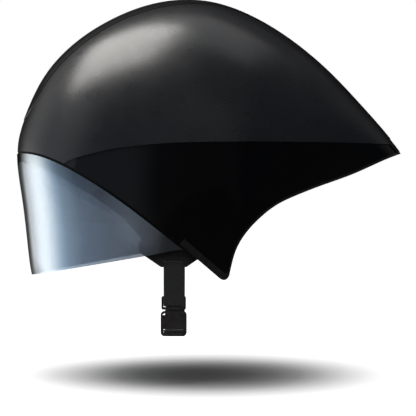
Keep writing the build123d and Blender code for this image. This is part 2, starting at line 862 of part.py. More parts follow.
def upper_strap_left(index):
    """One strap leg: looped through its slot, then up to its anchor in the foam."""
    middle, tilt = slot_places()[index]
    plane = tilted_plane(middle, tilt)
    half = WEBBING_WIDTH / 2
    thin = WEBBING_THICKNESS / 2
    offset = leg_offset()
    outer = block(-half, half, -offset - thin, -offset + thin, -thin, SEWN_LENGTH)
    inner = block(-half, half, offset - thin, offset + thin, -thin, SEWN_LENGTH)
    through = block(-half, half, -offset, offset, -thin, thin)
    loop = plane * (outer + inner + through)
    start = plane.from_local_coords(Vector(0, -offset, SEWN_LENGTH - thin))
    x, y, z = anchor_places()[index]
    end = Vector(x, y, z - ANCHOR_SHOWING)
    run = end - start
    frame = Plane(origin=start, x_dir=Vector(0, 1, 0).cross(run), z_dir=run)
    standing = (Align.CENTER, Align.CENTER, Align.MIN)
    leg = frame * Box(WEBBING_WIDTH, WEBBING_THICKNESS, run.length, align=standing)
    foot = z - ANCHOR_SHOWING
    wide = ANCHOR_LENGTH
    anchor_room = block(x - wide, x + wide, -HALF_WIDTH, 0, foot, z + ANCHOR_HEIGHT)
    return loop + (leg - anchor_room)


def chin_loop(side, low_end):
    """Webbing looped through the low slot of a splitter, its outer leg down to a given height."""
    x, z = slot_places()[2][0]
    half = WEBBING_WIDTH / 2
    thin = WEBBING_THICKNESS / 2
    y = side * STRAP_PLANE
    far = side * leg_offset()
    outer = block(x - half, x + half, y + far - thin, y + far + thin, low_end, z + thin)
    inner = block(x - half, x + half, y - far - thin, y - far + thin, z - SEWN_LENGTH, z + thin)
    through = block(x - half, x + half, y - leg_offset(), y + leg_offset(), z - thin, z + thin)
    return outer + inner + through


def chin_strap_left():
    """Short webbing from the left splitter to the bar of the male buckle."""
    x, z = slot_places()[2][0]
    slot_z = male_slot_level()
    half = WEBBING_WIDTH / 2
    thin = WEBBING_THICKNESS / 2
    top = chin_loop(-1, slot_z - thin)
    y = -STRAP_PLANE
    far = leg_offset()
    low = slot_z - thin
    through = block(x - half, x + half, y - far, y + far, low, slot_z + thin)
    inner = block(x - half, x + half, y + far - thin, y + far + thin, low, low + SEWN_LENGTH)
    return top + through + inner


def chin_strap_right():
    """Long webbing from the right splitter, under the chin, into the female buckle."""
    x, z = slot_places()[2][0]
    straight = z - SEWN_LENGTH
    top = chin_loop(1, straight)
    outer_y = STRAP_PLANE + leg_offset()
    bends = [(outer_y, straight)]
    for y_share, z_share in CHIN_LOOP_SHARES:
        bends.append((y_share * STRAP_PLANE, z - z_share * CHIN_LOOP_DEPTH))
    slot_z = female_slot_level()
    entry = (-STRAP_PLANE + BUCKLE_THICKNESS, slot_z)
    finish = (-STRAP_PLANE - BUCKLE_THICKNESS / 2, slot_z)
    bends.append(entry)
    sheet = strip_face(Spline(*bends, tangents=((0, -1), (-1, 0))), WEBBING_THICKNESS)
    strip = extrude(Plane.YZ * sheet, amount=WEBBING_WIDTH / 2, both=True)
    half = WEBBING_WIDTH / 2
    thin = WEBBING_THICKNESS / 2
    end = block(x - half, x + half, finish[0], entry[0], slot_z - thin, slot_z + thin)
    return top + Pos(x, 0, 0) * strip + end


# Side-release buckle

def buckle_levels():
    """Heights of the male half's top and foot, and of the female half's top and foot."""
    top = -SPLITTER_TOP - SPLITTER_HEIGHT - BUCKLE_DROP
    foot = top - MALE_HEIGHT
    mouth = foot - BUCKLE_PARTING
    return top, foot, mouth, mouth - FEMALE_HEIGHT


def male_slot_level():
    """Middle height of the slot in the male half."""
    return buckle_levels()[1] + MALE_BAR + SLOT_HEIGHT / 2


def female_slot_level():
    """Middle height of the slot in the female half."""
    return buckle_levels()[3] + BUCKLE_BAR + SLOT_HEIGHT / 2


def rounded_slab(width, thickness, top, foot, corner):
    """A slab hanging in the strap's plane, round at its foot corners and soft along its faces."""
    x = SPLITTER_CENTRE_X
    y = -STRAP_PLANE
    slab = block(x - width / 2, x + width / 2, y - thickness / 2, y + thickness / 2, foot, top)
    sides = slab.edges().filter_by(Axis.Y)
    slab = fillet(sides, corner)
    faces = slab.faces().sort_by(Axis.Y)
    rims = faces[0].edges() + faces[-1].edges()
    return fillet(rims, BUCKLE_EDGE)


def buckle_male():
    """Male half: a slotted plate whose foot carries the prongs."""
    top, foot = buckle_levels()[:2]
    plate = rounded_slab(MALE_WIDTH, PLATE_THICKNESS, top, foot, MALE_BAR - BUCKLE_EDGE)
    slot = Box(WEBBING_WIDTH + SLOT_SPARE, BUCKLE_THICKNESS, SLOT_HEIGHT)
    plate = plate - Pos(SPLITTER_CENTRE_X, -STRAP_PLANE, male_slot_level()) * slot
    half = prong_middle() + PRONG_WIDTH / 2
    deep = BUCKLE_THICKNESS / 2 - BUCKLE_WALL - RUNNING_GAP
    x = SPLITTER_CENTRE_X
    y = -STRAP_PLANE
    shoulder = block(x - half, x + half, y - deep, y + deep, foot, foot + MALE_BAR - BUCKLE_EDGE)
    return plate + shoulder


def prong_middle():
    """How far the middle of each prong lies from the middle of the buckle."""
    inner_wall = BUCKLE_WIDTH / 2 - BUCKLE_SIDE_WALL
    return inner_wall - BARB_ROOM - PRONG_WIDTH / 2


def buckle_female():
    """Female half: a hollow block with a mouth, two side windows, two eyes and a webbing slot."""
    foot, mouth, low = buckle_levels()[1:]
    x = SPLITTER_CENTRE_X
    y = -STRAP_PLANE
    body = rounded_slab(BUCKLE_WIDTH, BUCKLE_THICKNESS, mouth, low, BUCKLE_CORNER)
    half = BUCKLE_WIDTH / 2 - BUCKLE_SIDE_WALL
    deep = BUCKLE_THICKNESS / 2 - BUCKLE_WALL
    floor = foot - PRONG_HINGE_GAP - PRONG_LENGTH - PRONG_TIP_ROOM
    body = body - block(x - half, x + half, y - deep, y + deep, floor, mouth + OVERRUN)
    barb_low, barb_high = barb_levels()
    wide = BUCKLE_WIDTH / 2 + OVERRUN
    body = body - block(x - wide, x + wide, y - deep, y + deep, barb_low - BARB_ROOM, barb_high + BARB_ROOM)
    for side in (-1, 1):
        start = (x + side * EYE_SPREAD, y - BUCKLE_THICKNESS, mouth - EYE_DROP)
        body = body - rod(start, (0, 1, 0), EYE_RADIUS, BUCKLE_THICKNESS * 2)
    slot = Box(WEBBING_WIDTH + SLOT_SPARE, BUCKLE_THICKNESS * 2, SLOT_HEIGHT)
    return body - Pos(x, y, female_slot_level()) * slot


def barb_levels():
    """Lowest and highest height of the barbs."""
    tip = buckle_levels()[1] - PRONG_HINGE_GAP - PRONG_LENGTH
    low = tip + PRONG_WIDTH
    return low, low + BARB_HEIGHT


def prong(side):
    """One springy prong with the barb that shows in the side window."""
    foot = buckle_levels()[1] - PRONG_HINGE_GAP
    x = SPLITTER_CENTRE_X + side * prong_middle()
    deep = BUCKLE_THICKNESS / 2 - BUCKLE_WALL - RUNNING_GAP
    y = -STRAP_PLANE
    half = PRONG_WIDTH / 2
    leaf = block(x - half, x + half, y - deep, y + deep, foot - PRONG_LENGTH, foot)
    low, high = barb_levels()
    inner = x + side * half
    outer = inner + side * (BARB_ROOM + BARB_REACH)
    points = [(inner, 0, low), (outer, 0, low + PRONG_WIDTH), (outer, 0, high), (inner, 0, high)]
    face = Face(Wire.make_polygon(points))
    barb = Pos(0, y, 0) * extrude(face, amount=deep, dir=(0, 1, 0), both=True)
    return leaf + barb


# Retention cradle, dial and racks

def cradle_back():
    """How far back the outer face of the cradle lies in the middle."""
    return HEAD_LENGTH / 2 - CRADLE_GAP


def rack_span():
    """Front and back of the racks and of the pinion's teeth."""
    front = cradle_back() + RUNNING_GAP
    return front, front + RACK_THICKNESS


def oval_prism(reduction, low, high):
    """An upright oval prism that lies inside the head form's waist by the reduction."""
    oval = Ellipse(HEAD_LENGTH / 2 - reduction, HEAD_WIDTH / 2 - reduction)
    return Pos(0, 0, low) * extrude(oval, amount=high - low)


def pitch_radius():
    """Pitch radius of the pinion."""
    return GEAR_MODULE * PINION_TEETH / 2


def rack_levels(side):
    """Heights of the tips, roots and back of a rack above the dial's axis, times its side."""
    pitch = pitch_radius()
    return [side * level - FIT_LEVEL for level in
            (pitch - TOOTH_ADDENDUM, pitch + TOOTH_DEDENDUM, pitch + TOOTH_DEDENDUM + RACK_BACK)]


def dial_axis(start, radius, length):
    """A cylinder along the dial's axis."""
    return rod((start, 0, -FIT_LEVEL), (1, 0, 0), radius, length)


def housing_block(front, back):
    """The housing's outline, drawn out between two depths."""
    half = HOUSING_HEIGHT / 2
    length = HOUSING_HALF_LENGTH
    return block(front, back, -length, length, -FIT_LEVEL - half, -FIT_LEVEL + half)


def cradle():
    """Curved plate behind the head that carries the housing for the dial's racks."""
    low = -FIT_LEVEL - CRADLE_HEIGHT / 2
    high = low + CRADLE_HEIGHT
    tube = oval_prism(CRADLE_GAP, low, high) - oval_prism(CRADLE_GAP + CRADLE_WALL, low, high)
    back = block(0, HEAD_LENGTH, -CRADLE_HALF_SPAN, CRADLE_HALF_SPAN, low, high)
    rear = rack_span()[1]
    housing = housing_block(0, rear + RUNNING_GAP)
    housing = housing - oval_prism(CRADLE_GAP + CRADLE_WALL, -CHEEK_DROP, 0)
    body = (tube & back) + housing
    side_reach = HEAD_WIDTH / 2
    for side in (-1, 1):
        tip, root, end = rack_levels(side)
        low_z, high_z = sorted((tip - side * RUNNING_GAP, end + side * RUNNING_GAP))
        slot = block(cradle_back(), rear + OVERRUN, -side_reach, side_reach, low_z, high_z)
        body = body - slot
    body = body - dial_axis(cradle_back(), pitch_radius() + TOOTH_ADDENDUM + RUNNING_GAP, OVERRUN)
    body = body - dial_axis(0, SHAFT_RADIUS + SHAFT_CLEARANCE, HEAD_LENGTH)
    for y, z in screw_places():
        body = body - rod((rear - SCREW_LENGTH, y, z), (1, 0, 0), SCREW_RADIUS, SCREW_LENGTH + OVERRUN)
    return body


def cradle_pads():
    """Two crowned pads on the head side of the cradle."""
    pads = []
    reduction = CRADLE_GAP + CRADLE_WALL + SEAT_GAP
    inside = oval_prism(reduction, -CHEEK_DROP, 0)
    half_width = CRADLE_PAD_SHARES[0] * HEAD_WIDTH
    half_height = CRADLE_PAD_SHARES[1] * CRADLE_HEIGHT
    ball = scale(Sphere(1), by=(PAD_THICKNESS - CRADLE_WALL, half_width, half_height))
    for side in (-1, 1):
        y = side * CRADLE_PAD_SHARES[2] * HEAD_WIDTH
        share = y / (HEAD_WIDTH / 2 - reduction)
        x = (HEAD_LENGTH / 2 - reduction) * math.sqrt(1 - share ** 2)
        pads.append(Pos(x, y, -FIT_LEVEL) * ball & inside)
    return joined(pads)


def yoke_limits(extra):
    """Room of the yoke's hook, with extra on every side that meets the foam."""
    top = -FIT_LEVEL + CRADLE_HEIGHT / 2 + YOKE_RISE
    low = top - YOKE_HOOK_HEIGHT
    front = cradle_back() - CRADLE_WALL
    back = HEAD_LENGTH / 2 + YOKE_HOOK
    half = YOKE_WIDTH / 2 + extra
    return block(front, back + extra, -half, half, low - extra, top + extra)


def yoke_slot():
    """Slot in the foam for the yoke's hook."""
    return yoke_limits(SEAT_GAP)


def cradle_yoke():
    """Arm that carries the cradle, hooked into the foam at the back of the head."""
    low = -FIT_LEVEL + CRADLE_HEIGHT / 2
    half = YOKE_WIDTH / 2
    arm = block(cradle_back() - CRADLE_WALL, cradle_back(), -half, half, low, low + YOKE_RISE)
    arm = arm + yoke_limits(0)
    return arm & oval_prism(-YOKE_HOOK, -CHEEK_DROP, CROWN_RISE)


def screw_places():
    """Places of the four housing screws, as (y, z)."""
    y = HOUSING_HALF_LENGTH - SCREW_HEAD_RADIUS
    z = HOUSING_HEIGHT / 2 - SCREW_HEAD_RADIUS
    return [(i * y, k * z - FIT_LEVEL) for i in (-1, 1) for k in (-1, 1)]


def cover_span():
    """Front and back of the housing cover."""
    front = rack_span()[1] + RUNNING_GAP
    return front, front + COVER_WALL


def housing_cover():
    """Flat cover that keeps the racks and the pinion in the housing."""
    front, back = cover_span()
    plate = housing_block(front, back)
    plate = fillet(plate.edges().filter_by(Axis.X), SCREW_HEAD_RADIUS)
    plate = plate - dial_axis(front - OVERRUN, SHAFT_RADIUS + SHAFT_CLEARANCE, 2 * OVERRUN)
    for y, z in screw_places():
        plate = plate - rod((front - OVERRUN, y, z), (1, 0, 0), SCREW_RADIUS, 2 * OVERRUN)
    return plate


def housing_screws():
    """Four screws through the cover into the cradle."""
    back = cover_span()[1]
    start = rack_span()[1] - SCREW_LENGTH
    screws = []
    for y, z in screw_places():
        shank = rod((start, y, z), (1, 0, 0), SCREW_RADIUS, back - start)
        head = rod((back, y, z), (1, 0, 0), SCREW_HEAD_RADIUS, SCREW_HEAD_HEIGHT)
        socket = Box(SCREW_HEAD_HEIGHT, SCREW_HEAD_RADIUS, SCREW_HEAD_HEIGHT / 2)
        screws.append(shank + head - Pos(back + SCREW_HEAD_HEIGHT, y, z) * socket)
    return joined(screws)


def flank_angle(radius):
    """Half the angle that one pinion tooth spans at a radius outside the base circle."""
    base = pitch_radius() * math.cos(math.radians(PRESSURE_ANGLE))
    def involute(r):
        ratio = math.sqrt((r / base) ** 2 - 1)
        return ratio - math.atan(ratio)
    thickness = math.pi * GEAR_MODULE / 2 - TOOTH_BACKLASH / 2
    return thickness / 2 / pitch_radius() + involute(pitch_radius()) - involute(max(radius, base))


def pinion_outline():
    """Involute outline of the pinion, one tooth pointing up."""
    base = pitch_radius() * math.cos(math.radians(PRESSURE_ANGLE))
    root = pitch_radius() - TOOTH_DEDENDUM
    tip = pitch_radius() + TOOTH_ADDENDUM
    radii = [root, base, (base + tip) / 2, tip]
    points = []
    for tooth in range(PINION_TEETH):
        middle = 2 * math.pi * tooth / PINION_TEETH
        flank = [(flank_angle(r), r) for r in radii]
        for angle, r in [(-a, r) for a, r in flank] + list(reversed(flank)):
            points.append((r * math.sin(middle + angle), r * math.cos(middle + angle)))
    return points


def dial_pinion():
    """Pinion on its shaft, which the dial is screwed to."""
    front, back = rack_span()
    points = [(front, y, z - FIT_LEVEL) for y, z in pinion_outline()]
    gear = extrude(Face(Wire.make_polygon(points)), amount=back - front, dir=(1, 0, 0))
    start = cradle_back() - CRADLE_WALL + RUNNING_GAP
    end = dial_span()[1] - DIAL_DEPTH / 3
    shaft = dial_axis(start, SHAFT_RADIUS, end - start)
    return gear + shaft - dial_axis(end - DIAL_DEPTH / 2, DIAL_SCREW_RADIUS, DIAL_DEPTH)


def dial_span():
    """Front and back of the fit dial."""
    front = cover_span()[1] + DIAL_GAP
    return front, front + DIAL_DEPTH


def fit_dial():
    """Knob with a ribbed rim and a recess for its screw."""
    front, back = dial_span()
    rim = DIAL_RADIUS - DIAL_RIB_RADIUS
    knob = dial_axis(front, rim, DIAL_DEPTH)
    knob = fillet(knob.edges().sort_by(Axis.X)[-1], DIAL_RIB_RADIUS)
    for rib in range(DIAL_RIBS):
        turn = 2 * math.pi * rib / DIAL_RIBS
        place = (front, rim * math.sin(turn), rim * math.cos(turn) - FIT_LEVEL)
        knob = knob + rod(place, (1, 0, 0), DIAL_RIB_RADIUS, DIAL_DEPTH - DIAL_RIB_RADIUS)
    knob = knob - dial_axis(front - OVERRUN, SHAFT_RADIUS, OVERRUN + DIAL_DEPTH * 2 / 3)
    return knob - dial_axis(back - DIAL_DEPTH / 3, SHAFT_RADIUS + SCREW_RADIUS, DIAL_DEPTH)


def dial_screw():
    """Screw that holds the dial on its shaft."""
    end = dial_span()[1] - DIAL_DEPTH / 3
    head = dial_axis(end, SHAFT_RADIUS + SCREW_RADIUS - RUNNING_GAP, DIAL_DEPTH / 4)
    shank = dial_axis(end - DIAL_DEPTH / 2, DIAL_SCREW_RADIUS, DIAL_DEPTH / 2)
    socket = Box(SCREW_HEAD_HEIGHT, SHAFT_RADIUS * 2, SCREW_HEAD_HEIGHT / 2)
    return head + shank - Pos(end + DIAL_DEPTH / 4, 0, -FIT_LEVEL) * socket


def rack(side):
    """One toothed rack: above the pinion for the left band, below it for the right band."""
    front, back = rack_span()
    tip, root, end = rack_levels(side)
    inner = side * RACK_INNER_REACH
    outer = -side * RACK_OUTER_REACH
    y_low, y_high = sorted((inner, outer))
    z_low, z_high = sorted((root, end))
    bar = block(front, back, y_low, y_high, z_low, z_high)
    pitch = math.pi * GEAR_MODULE
    slope = math.tan(math.radians(PRESSURE_ANGLE))
    middle = pitch / 4 - TOOTH_BACKLASH / 2
    at_tip = middle - TOOTH_ADDENDUM * slope
    at_root = middle + TOOTH_DEDENDUM * slope
    first = math.ceil((y_low + at_root) / pitch - 1 / 2)
    last = math.floor((y_high - at_root) / pitch - 1 / 2)
    for index in range(first, last + 1):
        y = (index + 1 / 2) * pitch
        if abs(y) > RACK_OUTER_REACH - PADDLE_LENGTH - at_root:
            continue
        corners = [(y - at_root, root), (y - at_tip, tip), (y + at_tip, tip), (y + at_root, root)]
        flat = Face(Wire.make_polygon([(front, across_y, z) for across_y, z in corners]))
        tooth = extrude(flat, amount=back - front, dir=(1, 0, 0))
        bar = bar + tooth
    paddle_in = -side * (RACK_OUTER_REACH - PADDLE_LENGTH)
    p_low, p_high = sorted((paddle_in, outer))
    half = BAND_HEIGHT / 2
    low = min(-FIT_LEVEL - half, end)
    high = max(-FIT_LEVEL + half, end)
    return bar + block(front, back, p_low, p_high, low, high)


def fit_band_left():
    """Flexible band from the left rack round to the temple anchor."""
    front, back = rack_span()
    start = ((front + back) / 2, -RACK_OUTER_REACH - BAND_ROOT_GAP)
    bends = [start]
    for x_share, y_share in BAND_SHARES:
        bends.append((x_share * HEAD_LENGTH / 2, -y_share * HEAD_WIDTH / 2))
    sheet = strip_face(Spline(*bends), BAND_WALL)
    return Pos(0, 0, -FIT_LEVEL - BAND_HEIGHT / 2) * extrude(sheet, amount=BAND_HEIGHT)


def nodes():
    """Every piece of the helmet under its own name."""
    made = {
        "upper_shell": upper_shell(),
        "crown_panel": crown_panel(),
        "lower_shell_left": lower_shell_left(),
        "edge_trim_left": edge_trim_left(),
        "cheek_edge_left": cheek_edge_left(),
        "visor_lens": visor_lens(),
        "visor_seal": visor_seal(),
        "visor_seat": visor_seat(),
        "visor_magnets": visor_magnets(),
        "visor_magnet_cups": visor_magnet_cups(),
        "seat_magnets": seat_magnets(),
        "foam_liner": foam_liner(),
        "tail_foam": tail_foam(),
        "brow_pad": brow_pad(),
        "crown_pads": crown_pads(),
        "side_pad_left": side_pad_left(),
        "rear_pads": rear_pads(),
        "cheek_pad_left": cheek_pad_left(),
        "strap_anchors": strap_anchors(),
        "temple_anchors": temple_anchors(),
        "splitter_left": splitter_left(),
        "front_strap_left": upper_strap_left(0),
        "rear_strap_left": upper_strap_left(1),
        "chin_strap_left": chin_strap_left(),
        "chin_strap_right": chin_strap_right(),
        "buckle_male": buckle_male(),
        "buckle_female": buckle_female(),
        "prong_front": prong(-1),
        "prong_rear": prong(1),
        "cradle": cradle(),
        "cradle_pads": cradle_pads(),
        "cradle_yoke": cradle_yoke(),
        "housing_cover": housing_cover(),
        "housing_screws": housing_screws(),
        "fit_dial": fit_dial(),
        "dial_pinion": dial_pinion(),
        "dial_screw": dial_screw(),
        "rack_left": rack(1),
        "rack_right": rack(-1),
        "fit_band_left": fit_band_left(),
    }
    for name in ("lower_shell", "edge_trim", "cheek_edge", "side_pad", "cheek_pad", "splitter",
                 "front_strap", "rear_strap", "fit_band"):
        made[name + "_right"] = right_from(made[name + "_left"])
    return made


os.makedirs("parts", exist_ok=True)
for name, shape in nodes().items():
    export_step(shape, "parts/" + name + ".step")
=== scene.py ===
import json
import math
import bmesh
import bpy
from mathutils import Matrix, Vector

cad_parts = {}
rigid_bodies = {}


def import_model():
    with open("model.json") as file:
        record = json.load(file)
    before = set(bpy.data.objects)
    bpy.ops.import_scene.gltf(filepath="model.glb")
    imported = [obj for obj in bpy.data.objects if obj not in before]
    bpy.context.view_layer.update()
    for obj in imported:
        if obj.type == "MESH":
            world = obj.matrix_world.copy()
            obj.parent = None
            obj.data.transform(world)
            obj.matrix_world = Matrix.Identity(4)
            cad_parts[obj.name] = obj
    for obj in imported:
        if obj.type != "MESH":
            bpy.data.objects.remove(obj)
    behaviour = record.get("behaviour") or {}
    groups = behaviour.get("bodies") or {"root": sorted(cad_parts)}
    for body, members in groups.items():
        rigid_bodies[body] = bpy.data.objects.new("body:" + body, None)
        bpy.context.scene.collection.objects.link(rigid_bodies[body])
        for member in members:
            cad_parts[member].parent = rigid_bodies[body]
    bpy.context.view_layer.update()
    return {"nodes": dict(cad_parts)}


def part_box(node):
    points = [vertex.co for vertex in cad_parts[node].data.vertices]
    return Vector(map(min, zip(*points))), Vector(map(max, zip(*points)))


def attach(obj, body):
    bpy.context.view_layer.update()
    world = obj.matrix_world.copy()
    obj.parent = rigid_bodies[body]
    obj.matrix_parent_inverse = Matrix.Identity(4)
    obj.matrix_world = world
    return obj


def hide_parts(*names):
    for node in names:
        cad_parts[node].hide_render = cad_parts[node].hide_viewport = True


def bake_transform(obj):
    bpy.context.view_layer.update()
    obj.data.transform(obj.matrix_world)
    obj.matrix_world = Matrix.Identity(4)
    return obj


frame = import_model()

# Everything is in metres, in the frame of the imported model: nose to -X, wearer's left to -Y, up +Z.
MM = 0.001
NODES = frame["nodes"]

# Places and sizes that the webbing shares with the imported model
STRAP_PLANE = 79.0 * MM
WEBBING_WIDTH = 17.3 * MM  # a little more than the solid's, for its soft woven edge
WEBBING_THICKNESS = 1.4 * MM
LEG_OFFSET = 2.5 * MM
SEWN_LENGTH = 13.0 * MM
SLOT_X = 15.4 * MM
SLOT_Z = -95.0 * MM
LEG_SLOT_Z = -83.5 * MM
LEG_SLOTS_X = (-1.985 * MM, 32.785 * MM)
LEG_TILTS = (-12.0, 12.0)  # degrees
MALE_SLOT_Z = -132.4 * MM
FEMALE_SLOT_Z = -154.3 * MM
BUCKLE_HALF_THICKNESS = 3.5 * MM
FRONT_ANCHORS_REACH = 30 * MM

# Stitches
STITCH_RADIUS = 0.22 * MM
STITCH_LENGTH = 2.0 * MM
STITCH_PITCH = 1.35 * STITCH_LENGTH
STITCH_LEVEL = LEG_OFFSET + 0.85 * MM
STITCH_BOX = (7 * MM, 11 * MM)
LEG_STITCH_RISE = 13.5 * MM
CHIN_STITCH_DROP = 12.5 * MM
MALE_STITCH_RISE = 13 * MM

# Fit bands
BAND_THICKNESS = 1.4 * MM
BAND_ROOT = (100.5 * MM, 38.7 * MM)
HEAD_HALF_LENGTH = 103 * MM
HEAD_HALF_WIDTH = 81 * MM
BAND_SHARES = [(0.955, 0.57), (0.84, 0.68), (0.55, 0.82), (0.20, 0.925), (-0.20, 0.950)]


# Materials

def add(tree, kind, sockets=None, **settings):
    """A shader node: sockets are linked or set, settings are its own properties."""
    item = tree.nodes.new(kind)
    for key, value in settings.items():
        setattr(item, key, value)
    for key, value in (sockets or {}).items():
        socket = item.inputs[key]
        if isinstance(value, bpy.types.NodeSocket):
            tree.links.new(value, socket)
        else:
            socket.default_value = value
    return item


def place(tree, stretch=(1, 1, 1), source="Object", turn=(0, 0, 0)):
    """Texture coordinates in metres, stretched along each axis."""
    coords = add(tree, "ShaderNodeTexCoord")
    mapping = add(tree, "ShaderNodeMapping", {"Vector": coords.outputs[source], "Scale": stretch,
                                              "Rotation": [math.radians(a) for a in turn]})
    return mapping.outputs["Vector"]


def noise(tree, size, detail=3.0, roughness=0.5, stretch=(1, 1, 1)):
    """Noise whose grains are about the given size in metres."""
    made = add(tree, "ShaderNodeTexNoise", {"Vector": place(tree, stretch), "Scale": 1 / size,
                                            "Detail": detail, "Roughness": roughness})
    return made.outputs["Fac"]


def cells(tree, size, feature="F1"):
    """Distances in a pattern of cells of the given size."""
    made = add(tree, "ShaderNodeTexVoronoi", {"Vector": place(tree), "Scale": 1 / size}, feature=feature)
    return made.outputs["Distance"]


def ramp(tree, value, stops):
    """A colour ramp through (place, colour) stops."""
    made = add(tree, "ShaderNodeValToRGB", {"Fac": value})
    elements = made.color_ramp.elements
    while len(elements) < len(stops):
        elements.new(0.5)
    for element, (where, colour) in zip(elements, stops):
        element.position = where
        element.color = (*colour, 1.0)
    return made.outputs["Color"]


def spread(tree, value, low, high, start=0.3, end=0.7):
    """The value's middle range mapped between two numbers."""
    made = add(tree, "ShaderNodeMapRange", {"Value": value, "From Min": start, "From Max": end,
                                            "To Min": low, "To Max": high})
    return made.outputs["Result"]


def relief(tree, height, depth, under=None, strength=1.0):
    """Bump of a depth in metres, on top of another."""
    sockets = {"Height": height, "Distance": depth, "Strength": strength}
    if under is not None:
        sockets["Normal"] = under
    return add(tree, "ShaderNodeBump", sockets).outputs["Normal"]


def maths(tree, operation, first, second=0.0, clamp=False):
    """A math node."""
    made = add(tree, "ShaderNodeMath", {0: first, 1: second}, operation=operation, use_clamp=clamp)
    return made.outputs[0]


def material(name, sockets):
    """A principled material; the sockets are set by a function of its tree."""
    made = bpy.data.materials.new(name)
    made.use_nodes = True
    tree = made.node_tree
    shader = tree.nodes["Principled BSDF"]
    for key, value in sockets(tree).items():
        if isinstance(value, bpy.types.NodeSocket):
            tree.links.new(value, shader.inputs[key])
        else:
            shader.inputs[key].default_value = value
    return made


def moulded(name, dark, light, rough, patch=12 * MM, grain=0.35 * MM, depth=0.02 * MM, **fixed):
    """Moulded or painted plastic: colour drifts over patches, a fine grain roughens it."""
    def sockets(tree):
        wide = noise(tree, patch, 4.0)
        fine = noise(tree, grain, 2.0, 0.6)
        wear = noise(tree, patch * 0.3, 6.0, 0.65)
        made = {
            "Base Color": ramp(tree, wide, [(0.35, dark), (0.65, light)]),
            "Roughness": spread(tree, wear, rough[0], rough[1]),
            "Normal": relief(tree, fine, depth),
        }
        made.update({key.replace("_", " "): value for key, value in fixed.items()})
        return made
    return material(name, sockets)


def crown_gloss():
    """Lacquered laminate: a faint twill under a clear coat."""
    def sockets(tree):
        warp = add(tree, "ShaderNodeTexWave", {"Vector": place(tree, turn=(0, 0, 45)), "Scale": 1 / (7 * MM),
                                               "Distortion": 0.0}, bands_direction="X").outputs["Fac"]
        weft = add(tree, "ShaderNodeTexWave", {"Vector": place(tree, turn=(0, 0, -45)), "Scale": 1 / (7 * MM),
                                               "Distortion": 0.0}, bands_direction="X").outputs["Fac"]
        twill = maths(tree, "GREATER_THAN", warp, weft)
        soft = noise(tree, 3 * MM, 3.0)
        mixed = maths(tree, "ADD", maths(tree, "MULTIPLY", twill, 0.25), maths(tree, "MULTIPLY", soft, 0.5))
        return {
            "Base Color": ramp(tree, mixed, [(0.15, (0.0050, 0.0048, 0.0052)),
                                             (0.75, (0.0085, 0.0082, 0.0088))]),
            "Roughness": spread(tree, noise(tree, 20 * MM, 4.0), 0.30, 0.38),
            "Normal": relief(tree, noise(tree, 2.5 * MM, 2.0), 0.012 * MM),
            "Coat Weight": 0.45,
            "Coat Roughness": 0.16,
            "Specular IOR Level": 0.22,
        }
    return material("crown_lacquer", sockets)


def gloss_paint():
    """Deep black lacquer, painted lighter over the front of the panel: a painted highlight."""
    def sockets(tree):
        split = add(tree, "ShaderNodeSeparateXYZ", {"Vector": place(tree)})
        wide = noise(tree, 60 * MM, 4.0)
        # Painted highlight: the colour is lighter over the front of the panel, where it turns to face the
        # light; a broad drift of tone is added to it.
        front = spread(tree, split.outputs["X"], 0.75, 0.0, -20 * MM, 4 * MM)
        variation = maths(tree, "ADD", maths(tree, "MULTIPLY", wide, 0.25), front)
        return {
            "Base Color": ramp(tree, variation, [(0.05, (0.0012, 0.0012, 0.0015)),
                                            (0.25, (0.0020, 0.0020, 0.0024)),
                                            (1.0, (0.0075, 0.0080, 0.0092))]),
            "Roughness": spread(tree, noise(tree, 18 * MM, 6.0, 0.65), 0.05, 0.09),
            "Specular IOR Level": 0.20,
            "Normal": relief(tree, noise(tree, 3 * MM, 2.0, 0.6), 0.003 * MM),
        }
    return material("shell_gloss_paint", sockets)


def foam_beads():
    """Expanded foam: tight beads with a moulded skin, and painted shade in the seams between them."""
    def sockets(tree):
        # Painted shade: each of the beads is lighter in its middle and darker towards its seams.
        painted_bead_shade = cells(tree, 3.2 * MM)
        edge = cells(tree, 3.2 * MM, "DISTANCE_TO_EDGE")
        fine = noise(tree, 0.6 * MM, 2.0)
        normal = relief(tree, fine, 0.05 * MM, relief(tree, edge, 0.5 * MM))
        return {
            "Base Color": ramp(tree, painted_bead_shade, [(0.0, (0.050, 0.050, 0.052)), (0.6, (0.028, 0.028, 0.030)),
                                            (1.0, (0.016, 0.016, 0.018))]),
            "Roughness": spread(tree, fine, 0.62, 0.82),
            "Specular IOR Level": 0.35,
            "Normal": normal,
        }
    return material("foam_beads", sockets)


def lens_mirror():
    """Smoke lens under a thin mirror coat; the coat and the tint are painted darker towards the rear as painted
    shade.
    """
    made = bpy.data.materials.new("lens_mirror")
    made.use_nodes = True
    tree = made.node_tree
    shader = tree.nodes["Principled BSDF"]
    output = tree.nodes["Material Output"]
    variation = noise(tree, 60 * MM, 3.0)
    split = add(tree, "ShaderNodeSeparateXYZ", {"Vector": place(tree)})
    # Painted shade: the mirror coat and the tint get darker from the front towards the rear of the lens.
    painted_rear_shade = spread(tree, split.outputs["X"], 0.0, 1.0, -60 * MM, 10 * MM)
    coat = ramp(tree, painted_rear_shade, [(0.0, (0.90, 0.96, 1.0)), (1.0, (0.80, 0.88, 0.96))])
    tree.links.new(coat, shader.inputs["Base Color"])
    tree.links.new(spread(tree, variation, 0.05, 0.09), shader.inputs["Roughness"])
    shader.inputs["Metallic"].default_value = 1.0
    clear = add(tree, "ShaderNodeBsdfTransparent")
    tint = ramp(tree, painted_rear_shade, [(0.0, (0.66, 0.72, 0.78)), (1.0, (0.62, 0.66, 0.72))])
    tree.links.new(tint, clear.inputs["Color"])
    grazing = add(tree, "ShaderNodeLayerWeight", {"Blend": 0.5}).outputs["Facing"]
    share = spread(tree, grazing, 0.42, 1.0, 0.62, 0.80)
    mixed = add(tree, "ShaderNodeMixShader", {0: share, 1: clear.outputs[0], 2: shader.outputs[0]})
    tree.links.new(mixed.outputs[0], output.inputs["Surface"])
    return made


